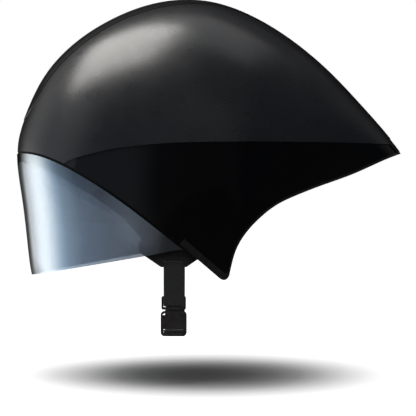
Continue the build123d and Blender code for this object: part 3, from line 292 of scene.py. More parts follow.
def webbing_weave(name, dark, light):
    """Woven webbing, in UV: u across the strap, v along it, both in threads."""
    def sockets(tree):
        split = add(tree, "ShaderNodeSeparateXYZ", {"Vector": place(tree, source="UV")})
        across = maths(tree, "SINE", maths(tree, "MULTIPLY", split.outputs["X"], math.tau))
        along = maths(tree, "SINE", maths(tree, "MULTIPLY", split.outputs["Y"], math.tau))
        thread = maths(tree, "MULTIPLY", across, along)
        height = maths(tree, "ADD", maths(tree, "MULTIPLY", thread, 0.5), 0.5)
        fuzz = noise(tree, 0.25 * MM, 3.0, 0.7)
        normal = relief(tree, fuzz, 0.06 * MM, relief(tree, height, 0.18 * MM))
        return {
            # Painted shade: the threads are lighter where they rise and darker in the dips between them.
            "Base Color": ramp(tree, height, [(0.1, dark), (0.9, light)]),
            "Roughness": spread(tree, fuzz, 0.62, 0.85),
            "Specular IOR Level": 0.3,
            "Sheen Weight": 0.25,
            "Sheen Roughness": 0.45,
            "Normal": normal,
        }
    return material(name, sockets)


def knit_fabric(name, dark, light, pitch=1.1 * MM):
    """Brushed knit for pads: small staggered eyelets under a soft nap."""
    def sockets(tree):
        eyelet = cells(tree, pitch)
        nap = noise(tree, 0.3 * MM, 4.0, 0.7)
        wide = noise(tree, 14 * MM, 4.0)
        pores = spread(tree, eyelet, 1.0, 0.0, 0.05, 0.55)
        height = maths(tree, "SUBTRACT", maths(tree, "MULTIPLY", nap, 0.5), pores)
        # Painted shade: the eyelets are darker than the knit around them, over a broad drift of tone.
        shade = maths(tree, "ADD", maths(tree, "MULTIPLY", pores, -0.35), wide)
        return {
            "Base Color": ramp(tree, shade, [(0.2, dark), (0.62, light)]),
            "Roughness": spread(tree, nap, 0.75, 0.95),
            "Specular IOR Level": 0.2,
            "Sheen Weight": 0.35,
            "Sheen Roughness": 0.5,
            "Normal": relief(tree, height, 0.22 * MM),
        }
    return material(name, sockets)


def brushed_metal(name, colour, rough):
    """Turned metal with fine tool marks."""
    def sockets(tree):
        marks = noise(tree, 0.5 * MM, 3.0, 0.6, (1, 6, 6))
        return {
            "Base Color": ramp(tree, noise(tree, 3 * MM), [(0.3, tuple(c * 0.8 for c in colour)),
                                                           (0.7, colour)]),
            "Metallic": 1.0,
            "Roughness": spread(tree, marks, rough[0], rough[1]),
            "Normal": relief(tree, marks, 0.01 * MM),
        }
    return material(name, sockets)


MATTE = moulded("shell_matte_paint", (0.0070, 0.0074, 0.0087), (0.0094, 0.0098, 0.0112), (0.26, 0.31),
                patch=45 * MM, grain=0.30 * MM, depth=0.004 * MM, Specular_IOR_Level=0.5)
GLOSS = gloss_paint()
CROWN = crown_gloss()
TRIM = moulded("edge_trim_satin", (0.004, 0.004, 0.0045), (0.008, 0.0078, 0.0078), (0.28, 0.36),
               patch=8 * MM, grain=0.25 * MM, depth=0.008 * MM, Specular_IOR_Level=0.6)
CHEEK = moulded("cheek_edge_satin", (0.004, 0.004, 0.0045), (0.007, 0.007, 0.0075), (0.24, 0.32),
                patch=10 * MM, grain=0.25 * MM, depth=0.008 * MM, Specular_IOR_Level=0.6)
RUBBER = moulded("seal_rubber_black", (0.0009, 0.0009, 0.0010), (0.0016, 0.0016, 0.0017), (0.55, 0.70),
                 patch=6 * MM, grain=0.20 * MM, depth=0.02 * MM, Specular_IOR_Level=0.10)
SEAT = moulded("seat_plastic_black", (0.008, 0.008, 0.009), (0.013, 0.013, 0.014), (0.40, 0.52),
               patch=10 * MM, grain=0.30 * MM, depth=0.015 * MM)
FOAM = foam_beads()
BUCKLE = moulded("buckle_satin_black", (0.0125, 0.0108, 0.0112), (0.0200, 0.0172, 0.0178), (0.32, 0.42),
                 patch=5 * MM, grain=0.22 * MM, depth=0.018 * MM, Specular_IOR_Level=0.5)
CRADLE = moulded("cradle_plastic_grey", (0.020, 0.020, 0.022), (0.030, 0.030, 0.033), (0.38, 0.50),
                 patch=8 * MM, grain=0.28 * MM, depth=0.02 * MM)
DIAL = moulded("dial_soft_touch", (0.012, 0.012, 0.012), (0.020, 0.020, 0.020), (0.55, 0.70),
               patch=5 * MM, grain=0.20 * MM, depth=0.03 * MM)
STEEL = brushed_metal("screw_steel_dark", (0.32, 0.32, 0.34), (0.28, 0.42))
NICKEL = brushed_metal("magnet_nickel", (0.62, 0.60, 0.56), (0.18, 0.30))
LENS = lens_mirror()
WEBBING = webbing_weave("webbing_black", (0.008, 0.008, 0.0083), (0.032, 0.032, 0.033))
THREAD = moulded("stitch_thread", (0.020, 0.020, 0.021), (0.032, 0.032, 0.034), (0.55, 0.70),
                 patch=2 * MM, grain=0.15 * MM, depth=0.03 * MM)
KNIT = knit_fabric("pad_knit_charcoal", (0.012, 0.012, 0.013), (0.032, 0.032, 0.034))
PIPING = knit_fabric("pad_binding", (0.008, 0.008, 0.009), (0.020, 0.020, 0.022), 0.7 * MM)
BAND = moulded("band_nylon", (0.014, 0.014, 0.015), (0.022, 0.022, 0.024), (0.36, 0.46),
               patch=6 * MM, grain=0.25 * MM, depth=0.015 * MM)

FINISHES = {
    "upper_shell": MATTE,
    "crown_panel": CROWN,
    "lower_shell": GLOSS,
    "edge_trim": TRIM,
    "cheek_edge": CHEEK,
    "visor_lens": LENS,
    "visor_seal": RUBBER,
    "visor_seat": SEAT,
    "visor_magnets": NICKEL,
    "visor_magnet_cups": SEAT,
    "seat_magnets": NICKEL,
    "foam_liner": FOAM,
    "tail_foam": FOAM,
    "strap_anchors": CRADLE,
    "temple_anchors": CRADLE,
    "splitter": BUCKLE,
    "buckle": BUCKLE,
    "prong": BUCKLE,
    "cradle": CRADLE,
    "housing_cover": CRADLE,
    "housing_screws": STEEL,
    "fit_dial": DIAL,
    "dial_pinion": CRADLE,
    "dial_screw": STEEL,
    "rack": BAND,
}


def finish_for(name):
    """The finish whose key is the longest start of a node's name."""
    keys = [key for key in FINISHES if name.startswith(key)]
    return FINISHES[max(keys, key=len)] if keys else SEAT


def dress(obj, finish):
    """One finish on the whole of an object."""
    obj.data.materials.clear()
    obj.data.materials.append(finish)


for node_name, node_object in NODES.items():
    dress(node_object, finish_for(node_name))


# Meshes

def mesh_object(name, points, faces, finish, uvs=None):
    """A smooth mesh object from points and faces."""
    mesh = bpy.data.meshes.new(name)
    mesh.from_pydata([tuple(p) for p in points], [], faces)
    if uvs is not None:
        layer = mesh.uv_layers.new(name="UVMap")
        for loop in mesh.loops:
            layer.data[loop.index].uv = uvs[loop.vertex_index]
    mesh.validate()
    mesh.polygons.foreach_set("use_smooth", [True] * len(mesh.polygons))
    obj = bpy.data.objects.new(name, mesh)
    bpy.context.scene.collection.objects.link(obj)
    obj.data.materials.append(finish)
    return obj


def smooth_path(points, spacing):
    """A smooth run through points, sampled at about one spacing: (position, blend of indices)."""
    out = []
    last = len(points) - 1
    for i in range(last):
        p0, p1, p2, p3 = (points[max(0, min(last, i + k))] for k in (-1, 0, 1, 2))
        steps = max(1, round((p2 - p1).length / spacing))
        for step in range(steps):
            t = step / steps
            pos = 0.5 * ((2 * p1) + (p2 - p0) * t + (2 * p0 - 5 * p1 + 4 * p2 - p3) * t ** 2
                         + (3 * p1 - p0 - 3 * p2 + p3) * t ** 3)
            out.append((pos, i + t))
    out.append((points[-1].copy(), float(last)))
    return out


def strap(name, points, sides, finish, width=WEBBING_WIDTH, thickness=WEBBING_THICKNESS, thread=1.5 * MM,
          woven=True, spacing=0.5 * MM):
    """A flat strap along points; sides are its width directions there. Woven ones have thread relief."""
    run = smooth_path(points, spacing)
    columns = 16
    rings, uvs, faces = [], [], []
    length = 0.0
    for k, (pos, where) in enumerate(run):
        ahead = run[min(k + 1, len(run) - 1)][0] - run[max(k - 1, 0)][0]
        ahead.normalize()
        if k:
            length += (pos - run[k - 1][0]).length
        low = min(int(where), len(sides) - 2)
        side = sides[low].lerp(sides[low + 1], where - low)
        side = (side - ahead * side.dot(ahead)).normalized()
        up = ahead.cross(side)
        for face in (1, -1):
            for c in range(columns + 1):
                share = c / columns if face > 0 else 1 - c / columns
                across = (share - 0.5) * 2
                edge = 1 - max(0.0, abs(across) - 0.86) ** 2 * 28
                lift = 0.0
                if woven:
                    rib = math.cos(share * columns * math.pi)
                    lift = 0.06 * MM * rib * math.cos(length / thread * math.tau)
                    if abs(across) > 0.80:
                        lift += 0.10 * MM
                half = thickness / 2 * max(0.25, edge)
                rings.append(pos + side * across * width / 2 + up * face * (half + lift))
                uvs.append((share * width / thread, length / thread))
    per = 2 * (columns + 1)
    for k in range(len(run) - 1):
        for c in range(per):
            d = (c + 1) % per
            faces.append((k * per + c, k * per + d, (k + 1) * per + d, (k + 1) * per + c))
    faces.append(tuple(reversed(range(per))))
    faces.append(tuple(range((len(run) - 1) * per, len(run) * per)))
    return mesh_object(name, rings, faces, finish, uvs)


def thread_row(starts_ends):
    """Points and faces of sewn stitches along straight lines: (start, end, outward)."""
    points, faces = [], []
    rings = ((-0.5, 0.15), (-0.32, 0.8), (0.0, 1.0), (0.32, 0.8), (0.5, 0.15))
    around = 6
    for start, end, outward in starts_ends:
        run = end - start
        count = max(1, round(run.length / STITCH_PITCH))
        ahead = run.normalized()
        side = ahead.cross(outward).normalized()
        for index in range(count):
            middle = start + run * ((index + 0.5) / count)
            base = len(points)
            for where, size in rings:
                for turn in range(around):
                    angle = math.tau * turn / around
                    offset = side * math.cos(angle) + outward * math.sin(angle)
                    points.append(middle + ahead * where * STITCH_LENGTH + offset * size * STITCH_RADIUS)
            for ring in range(len(rings) - 1):
                for turn in range(around):
                    a = base + ring * around + turn
                    b = base + ring * around + (turn + 1) % around
                    faces.append((a, b, b + around, a + around))
            faces.append(tuple(base + turn for turn in reversed(range(around))))
            top = base + (len(rings) - 1) * around
            faces.append(tuple(top + turn for turn in range(around)))
    return points, faces


def stitches(name, lines):
    """Sewn stitches as one object."""
    points, faces = thread_row(lines)
    return mesh_object(name, points, faces, THREAD)


def box_stitch(centre, along, side, outward):
    """A sewn box with a cross, as stitch lines."""
    length, width = STITCH_BOX
    a = along * (length / 2)
    s = side * (width / 2)
    corners = [centre - a - s, centre - a + s, centre + a + s, centre + a - s]
    lines = [(corners[i], corners[(i + 1) % 4], outward) for i in range(4)]
    lines.append((corners[0], corners[2], outward))
    lines.append((corners[1], corners[3], outward))
    return lines


# Webbing

def leg_strap(name, index, side):
    """One leg: sewn end inside, through its slot, up the outside to its anchor in the foam."""
    tilt = math.radians(LEG_TILTS[index])
    along = Vector((math.cos(tilt), 0, -math.sin(tilt)))
    up = Vector((math.sin(tilt), 0, math.cos(tilt)))
    out = Vector((0, side, 0))
    slot = Vector((LEG_SLOTS_X[index], side * STRAP_PLANE, LEG_SLOT_Z))
    low, high = anchor_boxes()[(index, side)]
    top = Vector(((low.x + high.x) / 2, (low.y + high.y) / 2, low.z))
    loop = [
        slot + up * 17 * MM + out * 1.0 * MM,
        slot + up * 12 * MM + out * -0.6 * MM,
        slot + up * 7 * MM - out * LEG_OFFSET,
        slot + up * 1.2 * MM - out * LEG_OFFSET,
        slot - out * 1.4 * MM,
        slot + out * 1.4 * MM,
        slot + up * 1.2 * MM + out * LEG_OFFSET,
        slot + up * 9 * MM + out * LEG_OFFSET,
        slot + up * SEWN_LENGTH + out * LEG_OFFSET,
    ]
    foot = loop[-1]
    run = top - foot
    wide = Vector((0, 1, 0)).cross(run).normalized()
    if wide.dot(along) < 0:
        wide = -wide
    points = loop + [foot + run * share for share in (0.12, 0.35, 0.65, 0.9, 1.0)]
    sides = [along] * 9 + [along.lerp(wide, 0.6)] + [wide] * 4
    made = strap(name, points, sides, WEBBING)
    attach(made, "helmet")
    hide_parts(name)
    centre = slot + up * LEG_STITCH_RISE + out * STITCH_LEVEL
    thread = stitches(name + "_stitches", box_stitch(centre, up, along, out))
    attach(thread, "helmet")


def anchor_boxes():
    """Boxes of the four strap anchors, by (front 0 or rear 1, side)."""
    found = {}
    for low, high in islands_of("strap_anchors", boxes=True):
        middle = (low + high) / 2
        side = -1 if middle.y < 0 else 1
        index = 0 if middle.x < FRONT_ANCHORS_REACH else 1
        found[(index, side)] = (low, high)
    return found


def islands_of(node, boxes=False):
    """The separate solids of a node: each as (points, faces), or as its box."""
    work = bmesh.new()
    work.from_mesh(NODES[node].data)
    bmesh.ops.remove_doubles(work, verts=work.verts, dist=1e-6)
    left = set(work.verts)
    found = []
    while left:
        start = left.pop()
        group, edge = {start}, [start]
        while edge:
            vert = edge.pop()
            for link in vert.link_edges:
                other = link.other_vert(vert)
                if other in left:
                    left.discard(other)
                    group.add(other)
                    edge.append(other)
        ordered = sorted(group, key=lambda v: v.index)
        if boxes:
            low = Vector([min(v.co[i] for v in ordered) for i in range(3)])
            high = Vector([max(v.co[i] for v in ordered) for i in range(3)])
            found.append((low, high))
        else:
            number = {v: i for i, v in enumerate(ordered)}
            faces = [tuple(number[v] for v in f.verts) for f in work.faces if f.verts[0] in number]
            found.append(([v.co.copy() for v in ordered], faces))
    work.free()
    if boxes:
        return found
    return sorted(found, key=lambda item: sum(p.y for p in item[0]) / len(item[0]))


for strap_index, strap_name in enumerate(("front_strap", "rear_strap")):
    leg_strap(strap_name + "_left", strap_index, -1)
    leg_strap(strap_name + "_right", strap_index, 1)


def chin_top(side):
    """The webbing's start: sewn end inside, round the lower bar of the splitter, to the outside."""
    out = Vector((0, side, 0))
    slot = Vector((SLOT_X, side * STRAP_PLANE, SLOT_Z))
    return [
        slot + out * 0.2 * MM + Vector((0, 0, -16 * MM)),
        slot - out * 1.4 * MM + Vector((0, 0, -11 * MM)),
        slot - out * LEG_OFFSET + Vector((0, 0, -6.5 * MM)),
        slot - out * LEG_OFFSET + Vector((0, 0, -1.2 * MM)),
        slot - out * 1.4 * MM,
        slot + out * 1.4 * MM,
        slot + out * LEG_OFFSET + Vector((0, 0, -1.2 * MM)),
        slot + out * LEG_OFFSET + Vector((0, 0, -9 * MM)),
    ]


def chin_blend(piece):
    """Bakes the chin strap's placing into its mesh."""
    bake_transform(piece)


ALONG_X = Vector((1, 0, 0))
DOWN = Vector((0, 0, -1))

left_points = chin_top(-1)
outer_y = -STRAP_PLANE - LEG_OFFSET
left_points += [Vector((SLOT_X, outer_y, z)) for z in (-115 * MM, -124 * MM, MALE_SLOT_Z + 3 * MM)]
left_points += [
    Vector((SLOT_X, outer_y, MALE_SLOT_Z + 1.0 * MM)),
    Vector((SLOT_X, -STRAP_PLANE - 1.4 * MM, MALE_SLOT_Z)),
    Vector((SLOT_X, -STRAP_PLANE + 1.4 * MM, MALE_SLOT_Z)),
    Vector((SLOT_X, -STRAP_PLANE + LEG_OFFSET, MALE_SLOT_Z + 1.2 * MM)),
    Vector((SLOT_X, -STRAP_PLANE + LEG_OFFSET, MALE_SLOT_Z + 7 * MM)),
    Vector((SLOT_X, -STRAP_PLANE + 0.6 * MM, MALE_SLOT_Z + 12 * MM)),
    Vector((SLOT_X, -STRAP_PLANE - 0.8 * MM, MALE_SLOT_Z + 17 * MM)),
]
chin_left = strap("chin_strap_left", left_points, [ALONG_X] * len(left_points), WEBBING)
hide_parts("chin_strap_left")
chin_blend(chin_left)

right_points = chin_top(1)
right_points += [
    Vector((SLOT_X, 81.5 * MM, -108 * MM)),
    Vector((SLOT_X, 80.6 * MM, -119 * MM)),
    Vector((SLOT_X, 73.5 * MM, -132.2 * MM)),
    Vector((SLOT_X, 47.4 * MM, -150.6 * MM)),
    Vector((SLOT_X, 4.0 * MM, -157.4 * MM)),
    Vector((SLOT_X, -39.5 * MM, -157.2 * MM)),
    Vector((SLOT_X, -62.0 * MM, -155.4 * MM)),
    Vector((SLOT_X, -72.0 * MM, FEMALE_SLOT_Z)),
    Vector((SLOT_X, -STRAP_PLANE - BUCKLE_HALF_THICKNESS, FEMALE_SLOT_Z)),
]
chin_right = strap("chin_strap_right", right_points, [ALONG_X] * len(right_points), WEBBING)
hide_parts("chin_strap_right")
chin_blend(chin_right)

for name, centre_z, side in (("chin_left_top_stitches", SLOT_Z - CHIN_STITCH_DROP, -1),
                             ("chin_right_top_stitches", SLOT_Z - CHIN_STITCH_DROP, 1),
                             ("chin_left_low_stitches", MALE_SLOT_Z + MALE_STITCH_RISE, -1)):
    out = Vector((0, side, 0))
    centre = Vector((SLOT_X, side * (STRAP_PLANE + STITCH_LEVEL), centre_z))
    sewn = stitches(name, box_stitch(centre, DOWN, ALONG_X, out))
    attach(sewn, "chin_strap")


# Fit bands

def fit_band(side):
    """Flexible band from its rack to the temple, held a little proud of the head."""
    node = "fit_band_left" if side < 0 else "fit_band_right"
    low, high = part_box(node)
    level = (low.z + high.z) / 2
    points = [Vector((BAND_ROOT[0], side * BAND_ROOT[1], level))]
    points += [Vector((x * HEAD_HALF_LENGTH, side * y * HEAD_HALF_WIDTH, level)) for x, y in BAND_SHARES]
    upright = Vector((0, 0, 1))
    band = strap(node, points, [upright] * len(points), BAND, width=high.z - low.z, thickness=BAND_THICKNESS,
                 woven=False, spacing=1.5 * MM)
    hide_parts(node)
    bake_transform(band)


fit_band(-1)
fit_band(1)


# Pads

def swell(obj, cap, pressure):
    """Inflates a closed mesh as cloth, with no point moved further than the cap."""
    rest = [v.co.copy() for v in obj.data.vertices]
    cloth = obj.modifiers.new("swell", "CLOTH")
    cloth.settings.use_pressure = True
    cloth.settings.uniform_pressure_force = pressure
    cloth.settings.effector_weights.gravity = 0.0
    cloth.settings.quality = 4
    cloth.settings.mass = 0.2
    cloth.point_cache.frame_start = 1
    cloth.point_cache.frame_end = 20
    scene = bpy.context.scene
    for step in range(1, 21):
        scene.frame_set(step)
    shown = obj.evaluated_get(bpy.context.evaluated_depsgraph_get())
    moved = [v.co.copy() for v in shown.data.vertices]
    obj.modifiers.remove(cloth)
    for vert, start, end in zip(obj.data.vertices, rest, moved):
        step = end - start
        if step.length > cap:
            step = step * (cap / step.length)
        vert.co = start + step
    scene.frame_set(1)


def apply_modifiers(obj):
    """Turns the modified mesh into the object's own."""
    bpy.context.view_layer.update()
    shown = obj.evaluated_get(bpy.context.evaluated_depsgraph_get())
    mesh = bpy.data.meshes.new_from_object(shown)
    obj.modifiers.clear()
    obj.data = mesh


def outline_of(points, centre, facing, steps=72):
    """Where a pad is widest, seen along its facing direction, as a closed ring of points."""
    first = facing.orthogonal().normalized()
    second = facing.cross(first)
    ring = []
    for step in range(steps):
        angle = math.tau * step / steps
        way = first * math.cos(angle) + second * math.sin(angle)
        near = sorted(points, key=lambda p: -(p - centre).dot(way))[:4]
        ring.append(sum(near, Vector()) / len(near))
    for _ in range(2):
        ring = [(ring[i - 1] + ring[i] * 2 + ring[(i + 1) % steps]) / 4 for i in range(steps)]
    return ring


def tube(name, ring, radius, finish, around=8):
    """A closed tube through a ring of points."""
    points, faces = [], []
    count = len(ring)
    for i, pos in enumerate(ring):
        ahead = (ring[(i + 1) % count] - ring[i - 1]).normalized()
        first = ahead.orthogonal().normalized() if i == 0 else (side - ahead * side.dot(ahead)).normalized()
        side = first
        second = ahead.cross(first)
        for turn in range(around):
            angle = math.tau * turn / around
            points.append(pos + (first * math.cos(angle) + second * math.sin(angle)) * radius)
    for i in range(count - 1):
        for turn in range(around):
            a = i * around + turn
            b = i * around + (turn + 1) % around
            faces.append((a, b, b + around, a + around))
    last = (count - 1) * around
    near = min(range(around), key=lambda k: (points[k] - points[last]).length)
    for turn in range(around):
        a = last + turn
        b = last + (turn + 1) % around
        faces.append((a, b, (turn + 1 + near) % around, (turn + near) % around))
    return mesh_object(name, points, faces, finish)


def quilted(obj, centre, facing, ring, groove, inset):
    """Presses a sewn groove into the pad, one inset in from its outline."""
    flat_ring = [p - facing * (p - centre).dot(facing) for p in ring]
    for vert in obj.data.vertices:
        if (vert.co - centre).dot(facing) < -1 * MM:
            continue
        flat = vert.co - facing * (vert.co - centre).dot(facing)
        near = min((flat - p).length for p in flat_ring)
        press = math.exp(-((near - inset) / (1.1 * MM)) ** 2)
        vert.co -= facing * groove * press


def cushion(name, solid, body, facing, node, voxel=2.6 * MM, cap=1.3 * MM, pressure=4.0, mirrored=None,
            inset=4.5 * MM):
    """A sewn pad in a CAD solid's space: swollen cloth, a bound rim and a pressed seam."""
    points, faces = solid
    centre = sum(points, Vector()) / len(points)
    small = [centre + (p - centre) * 0.97 for p in points]
    obj = mesh_object(name, small, faces, KNIT)
    remesh = obj.modifiers.new("even", "REMESH")
    remesh.mode = "VOXEL"
    remesh.voxel_size = voxel
    apply_modifiers(obj)
    swell(obj, cap, pressure)
    finer = obj.modifiers.new("finer", "SUBSURF")
    finer.levels = 1
    finer.render_levels = 1
    apply_modifiers(obj)
    ring = outline_of([v.co.copy() for v in obj.data.vertices], centre, facing)
    quilted(obj, centre, facing, ring, 0.5 * MM, inset)
    obj.data.polygons.foreach_set("use_smooth", [True] * len(obj.data.polygons))
    if not obj.data.materials:
        obj.data.materials.append(KNIT)
    finish_pad(obj, name, ring, body, node)
    if mirrored:
        other_name, other_node = mirrored
        other_mesh = obj.data.copy()
        for vert in other_mesh.vertices:
            vert.co.y = -vert.co.y
        other_mesh.flip_normals()
        other = bpy.data.objects.new(other_name, other_mesh)
        bpy.context.scene.collection.objects.link(other)
        other_ring = [Vector((p.x, -p.y, p.z)) for p in ring]
        finish_pad(other, other_name, other_ring, body, other_node)


def finish_pad(obj, name, ring, body, node):
    """Rides its body, hides the CAD node it stands for, and gets the bound rim of one pad."""
    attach(obj, body)
    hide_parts(node)
    rim = tube(name + "_binding", ring, 0.75 * MM, PIPING)
    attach(rim, body)


cushion("brow_pad", islands_of("brow_pad")[0], "helmet", Vector((1, 0, -0.35)).normalized(), "brow_pad")
crown = islands_of("crown_pads")
cushion("crown_pad_middle", crown[1], "helmet", Vector((0, 0, -1)), "crown_pads")
cushion("crown_pad_left", crown[0], "helmet", Vector((0, 0.5, -0.87)).normalized(), "crown_pads",
        mirrored=("crown_pad_right", "crown_pads"))
cushion("side_pad_left", islands_of("side_pad_left")[0], "helmet", Vector((0, 1, 0)), "side_pad_left",
        mirrored=("side_pad_right", "side_pad_right"))
cushion("rear_pad_left", islands_of("rear_pads")[0], "helmet", Vector((-1, 0.2, 0)).normalized(), "rear_pads",
        mirrored=("rear_pad_right", "rear_pads"))
cushion("cheek_pad_left", islands_of("cheek_pad_left")[0], "helmet", Vector((0, 1, 0)), "cheek_pad_left",
        voxel=3.0 * MM, cap=1.8 * MM, mirrored=("cheek_pad_right", "cheek_pad_right"), inset=6 * MM)
cushion("cradle_pad_left", islands_of("cradle_pads")[0], "helmet", Vector((-1, 0.2, 0)).normalized(),
        "cradle_pads", voxel=2.0 * MM, cap=0.8 * MM, mirrored=("cradle_pad_right", "cradle_pads"),
        inset=3 * MM)


# Studio

FLOOR_LEVEL = -196 * MM
FLOOR_SLOPE_REACH = 700 * MM
FLOOR_SLOPE_RISE = 60 * MM
VIEW_CENTRE = Vector((44.9 * MM, -20 * MM, -49.0 * MM))
VIEW_DISTANCE = 3.2
VIEW_RISE = 0.3  # degrees
VIEW_WIDTH = 364.3 * MM
SENSOR_WIDTH = 36.0
FLOOR_REACH = 8.0
BACKDROP_STRENGTH = 2.2
SHADOW_REACH = 0.22
BACKDROP = [
    (0.0, (0.03, 0.03, 0.03)),
    (0.04, (0.070, 0.077, 0.089)),
    (0.10, (0.049, 0.056, 0.069)),
    (0.22, (0.062, 0.078, 0.103)),
    (0.355, (0.138, 0.176, 0.218)),
    (0.42, (0.245, 0.298, 0.355)),
    (0.565, (0.74, 0.77, 0.785)),
    (0.61, (0.815, 0.825, 0.83)),
    (0.65, (0.83, 0.83, 0.83)),
    (0.70, (0.77, 0.77, 0.77)),
    (0.76, (0.63, 0.63, 0.63)),
    (0.81, (0.49, 0.49, 0.49)),
    (0.845, (0.35, 0.35, 0.35)),
    (0.88, (0.14, 0.14, 0.14)),
    (0.91, (0.04, 0.04, 0.04)),
    (0.94, (0.008, 0.008, 0.008)),
    (1.0, (0.004, 0.004, 0.004)),
]
# Painted shadow: levels of the floor's camera-only emission by distance from the middle, which shape the
# shadow's soft edge.
SHADOW_FADE = [
    (0.0, 0.0), (0.15, 0.008), (0.27, 0.045), (0.37, 0.13), (0.45, 0.28),
    (0.51, 0.42), (0.58, 0.58), (0.65, 0.73), (0.75, 0.88), (1.0, 1.0),
]


def softbox(name, position, target, size, power, colour=(1, 1, 1), roll=0):
    """A rectangular soft light aimed at a point, rolled about its aim."""
    data = bpy.data.lights.new(name, "AREA")
    data.shape = "RECTANGLE"
    data.size, data.size_y = size
    data.energy = power
    data.color = colour
    lamp = bpy.data.objects.new(name, data)
    bpy.context.scene.collection.objects.link(lamp)
    lamp.location = position
    lamp.rotation_euler = (Vector(target) - Vector(position)).to_track_quat("-Z", "Y").to_euler()
    lamp.rotation_euler.rotate_axis("Z", math.radians(roll))
    return lamp


def scaled(tree, colour, *factors):
    """A colour times some numbers."""
    for factor in factors:
        made = add(tree, "ShaderNodeVectorMath", {0: colour, "Scale": factor}, operation="SCALE")
        colour = made.outputs["Vector"]
    return colour


def summed(tree, first, second):
    """Two colours, or a colour and a grey, added."""
    return add(tree, "ShaderNodeVectorMath", {0: first, 1: second}, operation="ADD").outputs["Vector"]


def backdrop(tree, y_share):
    """Surroundings in reflections: pale to the far side, dark at its end, cool grey to the camera's side."""
    return ramp(tree, spread(tree, y_share, 0.0, 1.0, -1.0, 1.0), BACKDROP)


def floor_paper(tree):
    """White paper: bright in reflections only well ahead of the nose, white for the camera off the shadow,
    whose soft edge is painted shadow.
    """
    path = add(tree, "ShaderNodeLightPath")
    camera = path.outputs["Is Camera Ray"]
    mirrored = maths(tree, "ADD", path.outputs["Is Glossy Ray"], path.outputs["Is Transmission Ray"],
                     clamp=True)
    split = add(tree, "ShaderNodeSeparateXYZ", {"Vector": place(tree)})
    x = maths(tree, "SUBTRACT", split.outputs["X"], VIEW_CENTRE.x)
    far = maths(tree, "SQRT", maths(tree, "ADD", maths(tree, "POWER", x, 2.0),
                                    maths(tree, "POWER", split.outputs["Y"], 2.0)))
    # Painted shadow: an emission that only the camera sees rises with distance from the middle and paints the
    # soft edge of the cast shadow.
    greys = [(where, (level, level, level)) for where, level in SHADOW_FADE]
    painted_edge_level = ramp(tree, spread(tree, far, 0.0, 1.0, 0.0, SHADOW_REACH), greys)
    painted_shadow_edge = maths(tree, "MULTIPLY", camera, painted_edge_level)
    reach = maths(tree, "SQRT", maths(tree, "ADD", maths(tree, "POWER", split.outputs["X"], 2.0),
                                      maths(tree, "POWER", split.outputs["Y"], 2.0)))
    ahead = spread(tree, split.outputs["X"], BACKDROP_STRENGTH, 0.08, -0.60, -0.25)
    around = scaled(tree, backdrop(tree, maths(tree, "DIVIDE", split.outputs["Y"], reach)), ahead, mirrored)
    shade = maths(tree, "ADD", maths(tree, "MULTIPLY", camera, 0.45), 0.22)
    diffuse = add(tree, "ShaderNodeBsdfDiffuse", {"Color": shade})
    emission = add(tree, "ShaderNodeEmission", {"Color": summed(tree, around, painted_shadow_edge)})
    total = add(tree, "ShaderNodeAddShader", {0: diffuse.outputs[0], 1: emission.outputs[0]})
    tree.links.new(total.outputs[0], tree.nodes["Material Output"].inputs["Surface"])


def studio_world(tree):
    """White for the camera and through glass; reflections see a pale backdrop and a dark camera side."""
    path = add(tree, "ShaderNodeLightPath")
    seen = maths(tree, "ADD", path.outputs["Is Camera Ray"], path.outputs["Is Transmission Ray"], clamp=True)
    coords = add(tree, "ShaderNodeTexCoord")
    way = add(tree, "ShaderNodeSeparateXYZ", {"Vector": coords.outputs["Generated"]})
    level = spread(tree, way.outputs["Z"], BACKDROP_STRENGTH, 1.0, 0.0, 0.25)
    high = spread(tree, way.outputs["Z"], 1.0, 0.30, 0.45, 0.80)
    rear = spread(tree, way.outputs["X"], 1.0, 0.20, -0.10, 0.60)
    far = spread(tree, way.outputs["Y"], 1.0, 0.5, 0.5, 0.8)
    room = scaled(tree, backdrop(tree, way.outputs["Y"]), level, high, rear, far)
    plain = maths(tree, "ADD", maths(tree, "MULTIPLY", seen, 0.86), 0.14)
    mixed = add(tree, "ShaderNodeMixRGB", {"Fac": path.outputs["Is Glossy Ray"], "Color1": plain,
                                           "Color2": room})
    tree.links.new(mixed.outputs[0], tree.nodes["Background"].inputs["Color"])
    tree.nodes["Background"].inputs["Strength"].default_value = 1.0


def floor_sheet():
    """The floor: a gentle slope under the object, level beyond it."""
    mesh = bpy.data.meshes.new("floor")
    ends = (-1, 1)
    rows = [(-FLOOR_REACH, -1), (-FLOOR_SLOPE_REACH, -1), (FLOOR_SLOPE_REACH, 1), (FLOOR_REACH, 1)]
    points = [(end * FLOOR_REACH, y, FLOOR_LEVEL + side * FLOOR_SLOPE_RISE) for y, side in rows for end in ends]
    mesh.from_pydata(points, [], [(2 * k, 2 * k + 1, 2 * k + 3, 2 * k + 2) for k in range(3)])
    floor = bpy.data.objects.new("floor", mesh)
    bpy.context.scene.collection.objects.link(floor)
    paper = bpy.data.materials.new("floor_paper")
    paper.use_nodes = True
    paper.node_tree.nodes.remove(paper.node_tree.nodes["Principled BSDF"])
    floor_paper(paper.node_tree)
    floor.data.materials.append(paper)
    return floor


def lit_group(name, items):
    """A collection of the only objects that a lamp lights."""
    group = bpy.data.collections.new(name)
    for item in items:
        group.objects.link(item)
    return group


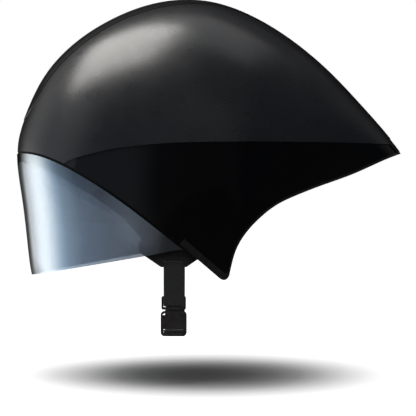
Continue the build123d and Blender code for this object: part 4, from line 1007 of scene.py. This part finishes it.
def studio_lights(floor):
    """One lamp for the floor's shadow, the others for the helmet; the cheek lamp leaves out the lens."""
    above = softbox("floor_light", position=(0.02, 0.0, 0.32), target=(0.02, 0, 0), size=(0.42, 0.70),
                    power=2.2)
    above.light_linking.receiver_collection = lit_group("lit_by_floor_light", [floor])
    everything = bpy.context.scene.collection.all_objects
    pieces = [item for item in everything if item.type == "MESH" and item != floor]
    helmet_only = lit_group("lit_by_studio_lights", pieces)
    key = softbox("key", position=(-0.66, -0.10, 1.17), target=(-0.03, -0.03, 0.07), size=(0.88, 0.92),
                  power=24.5, colour=(1.0, 0.975, 0.93), roll=-40)
    top = softbox("top", position=(0.16, -0.05, 1.20), target=(0.16, -0.05, 0.0), size=(1.3, 0.90), power=3.3)
    cheek = softbox("cheek", position=(-1.45, -0.60, 0.50), target=(0.0, 0.0, 0.0), size=(0.7, 0.9), power=1.0)
    fill = softbox("fill", position=(0.3, -1.5, 0.5), target=(0.05, 0, -0.05), size=(1.2, 0.8),
                   power=17.0, colour=(0.97, 0.985, 1.0))
    fill.visible_glossy = False
    for lamp in (key, top, fill):
        lamp.light_linking.receiver_collection = helmet_only
    opaque = [item for item in pieces if item != NODES["visor_lens"]]
    cheek.light_linking.receiver_collection = lit_group("lit_by_cheek_light", opaque)


def studio_camera():
    """Looks square on from the wearer's left, a little from above."""
    data = bpy.data.cameras.new("camera")
    data.sensor_width = SENSOR_WIDTH
    data.lens = SENSOR_WIDTH * VIEW_DISTANCE / VIEW_WIDTH
    camera = bpy.data.objects.new("camera", data)
    bpy.context.scene.collection.objects.link(camera)
    rise = math.radians(VIEW_RISE)
    camera.location = VIEW_CENTRE + Vector((0, -math.cos(rise), math.sin(rise))) * VIEW_DISTANCE
    camera.rotation_euler = (VIEW_CENTRE - camera.location).to_track_quat("-Z", "Y").to_euler()
    bpy.context.scene.camera = camera


def studio():
    """Floor, world, lights and camera."""
    floor = floor_sheet()
    world = bpy.data.worlds.new("studio")
    bpy.context.scene.world = world
    world.use_nodes = True
    studio_world(world.node_tree)
    studio_lights(floor)
    studio_camera()
    bpy.context.scene.view_settings.view_transform = "Standard"


studio()
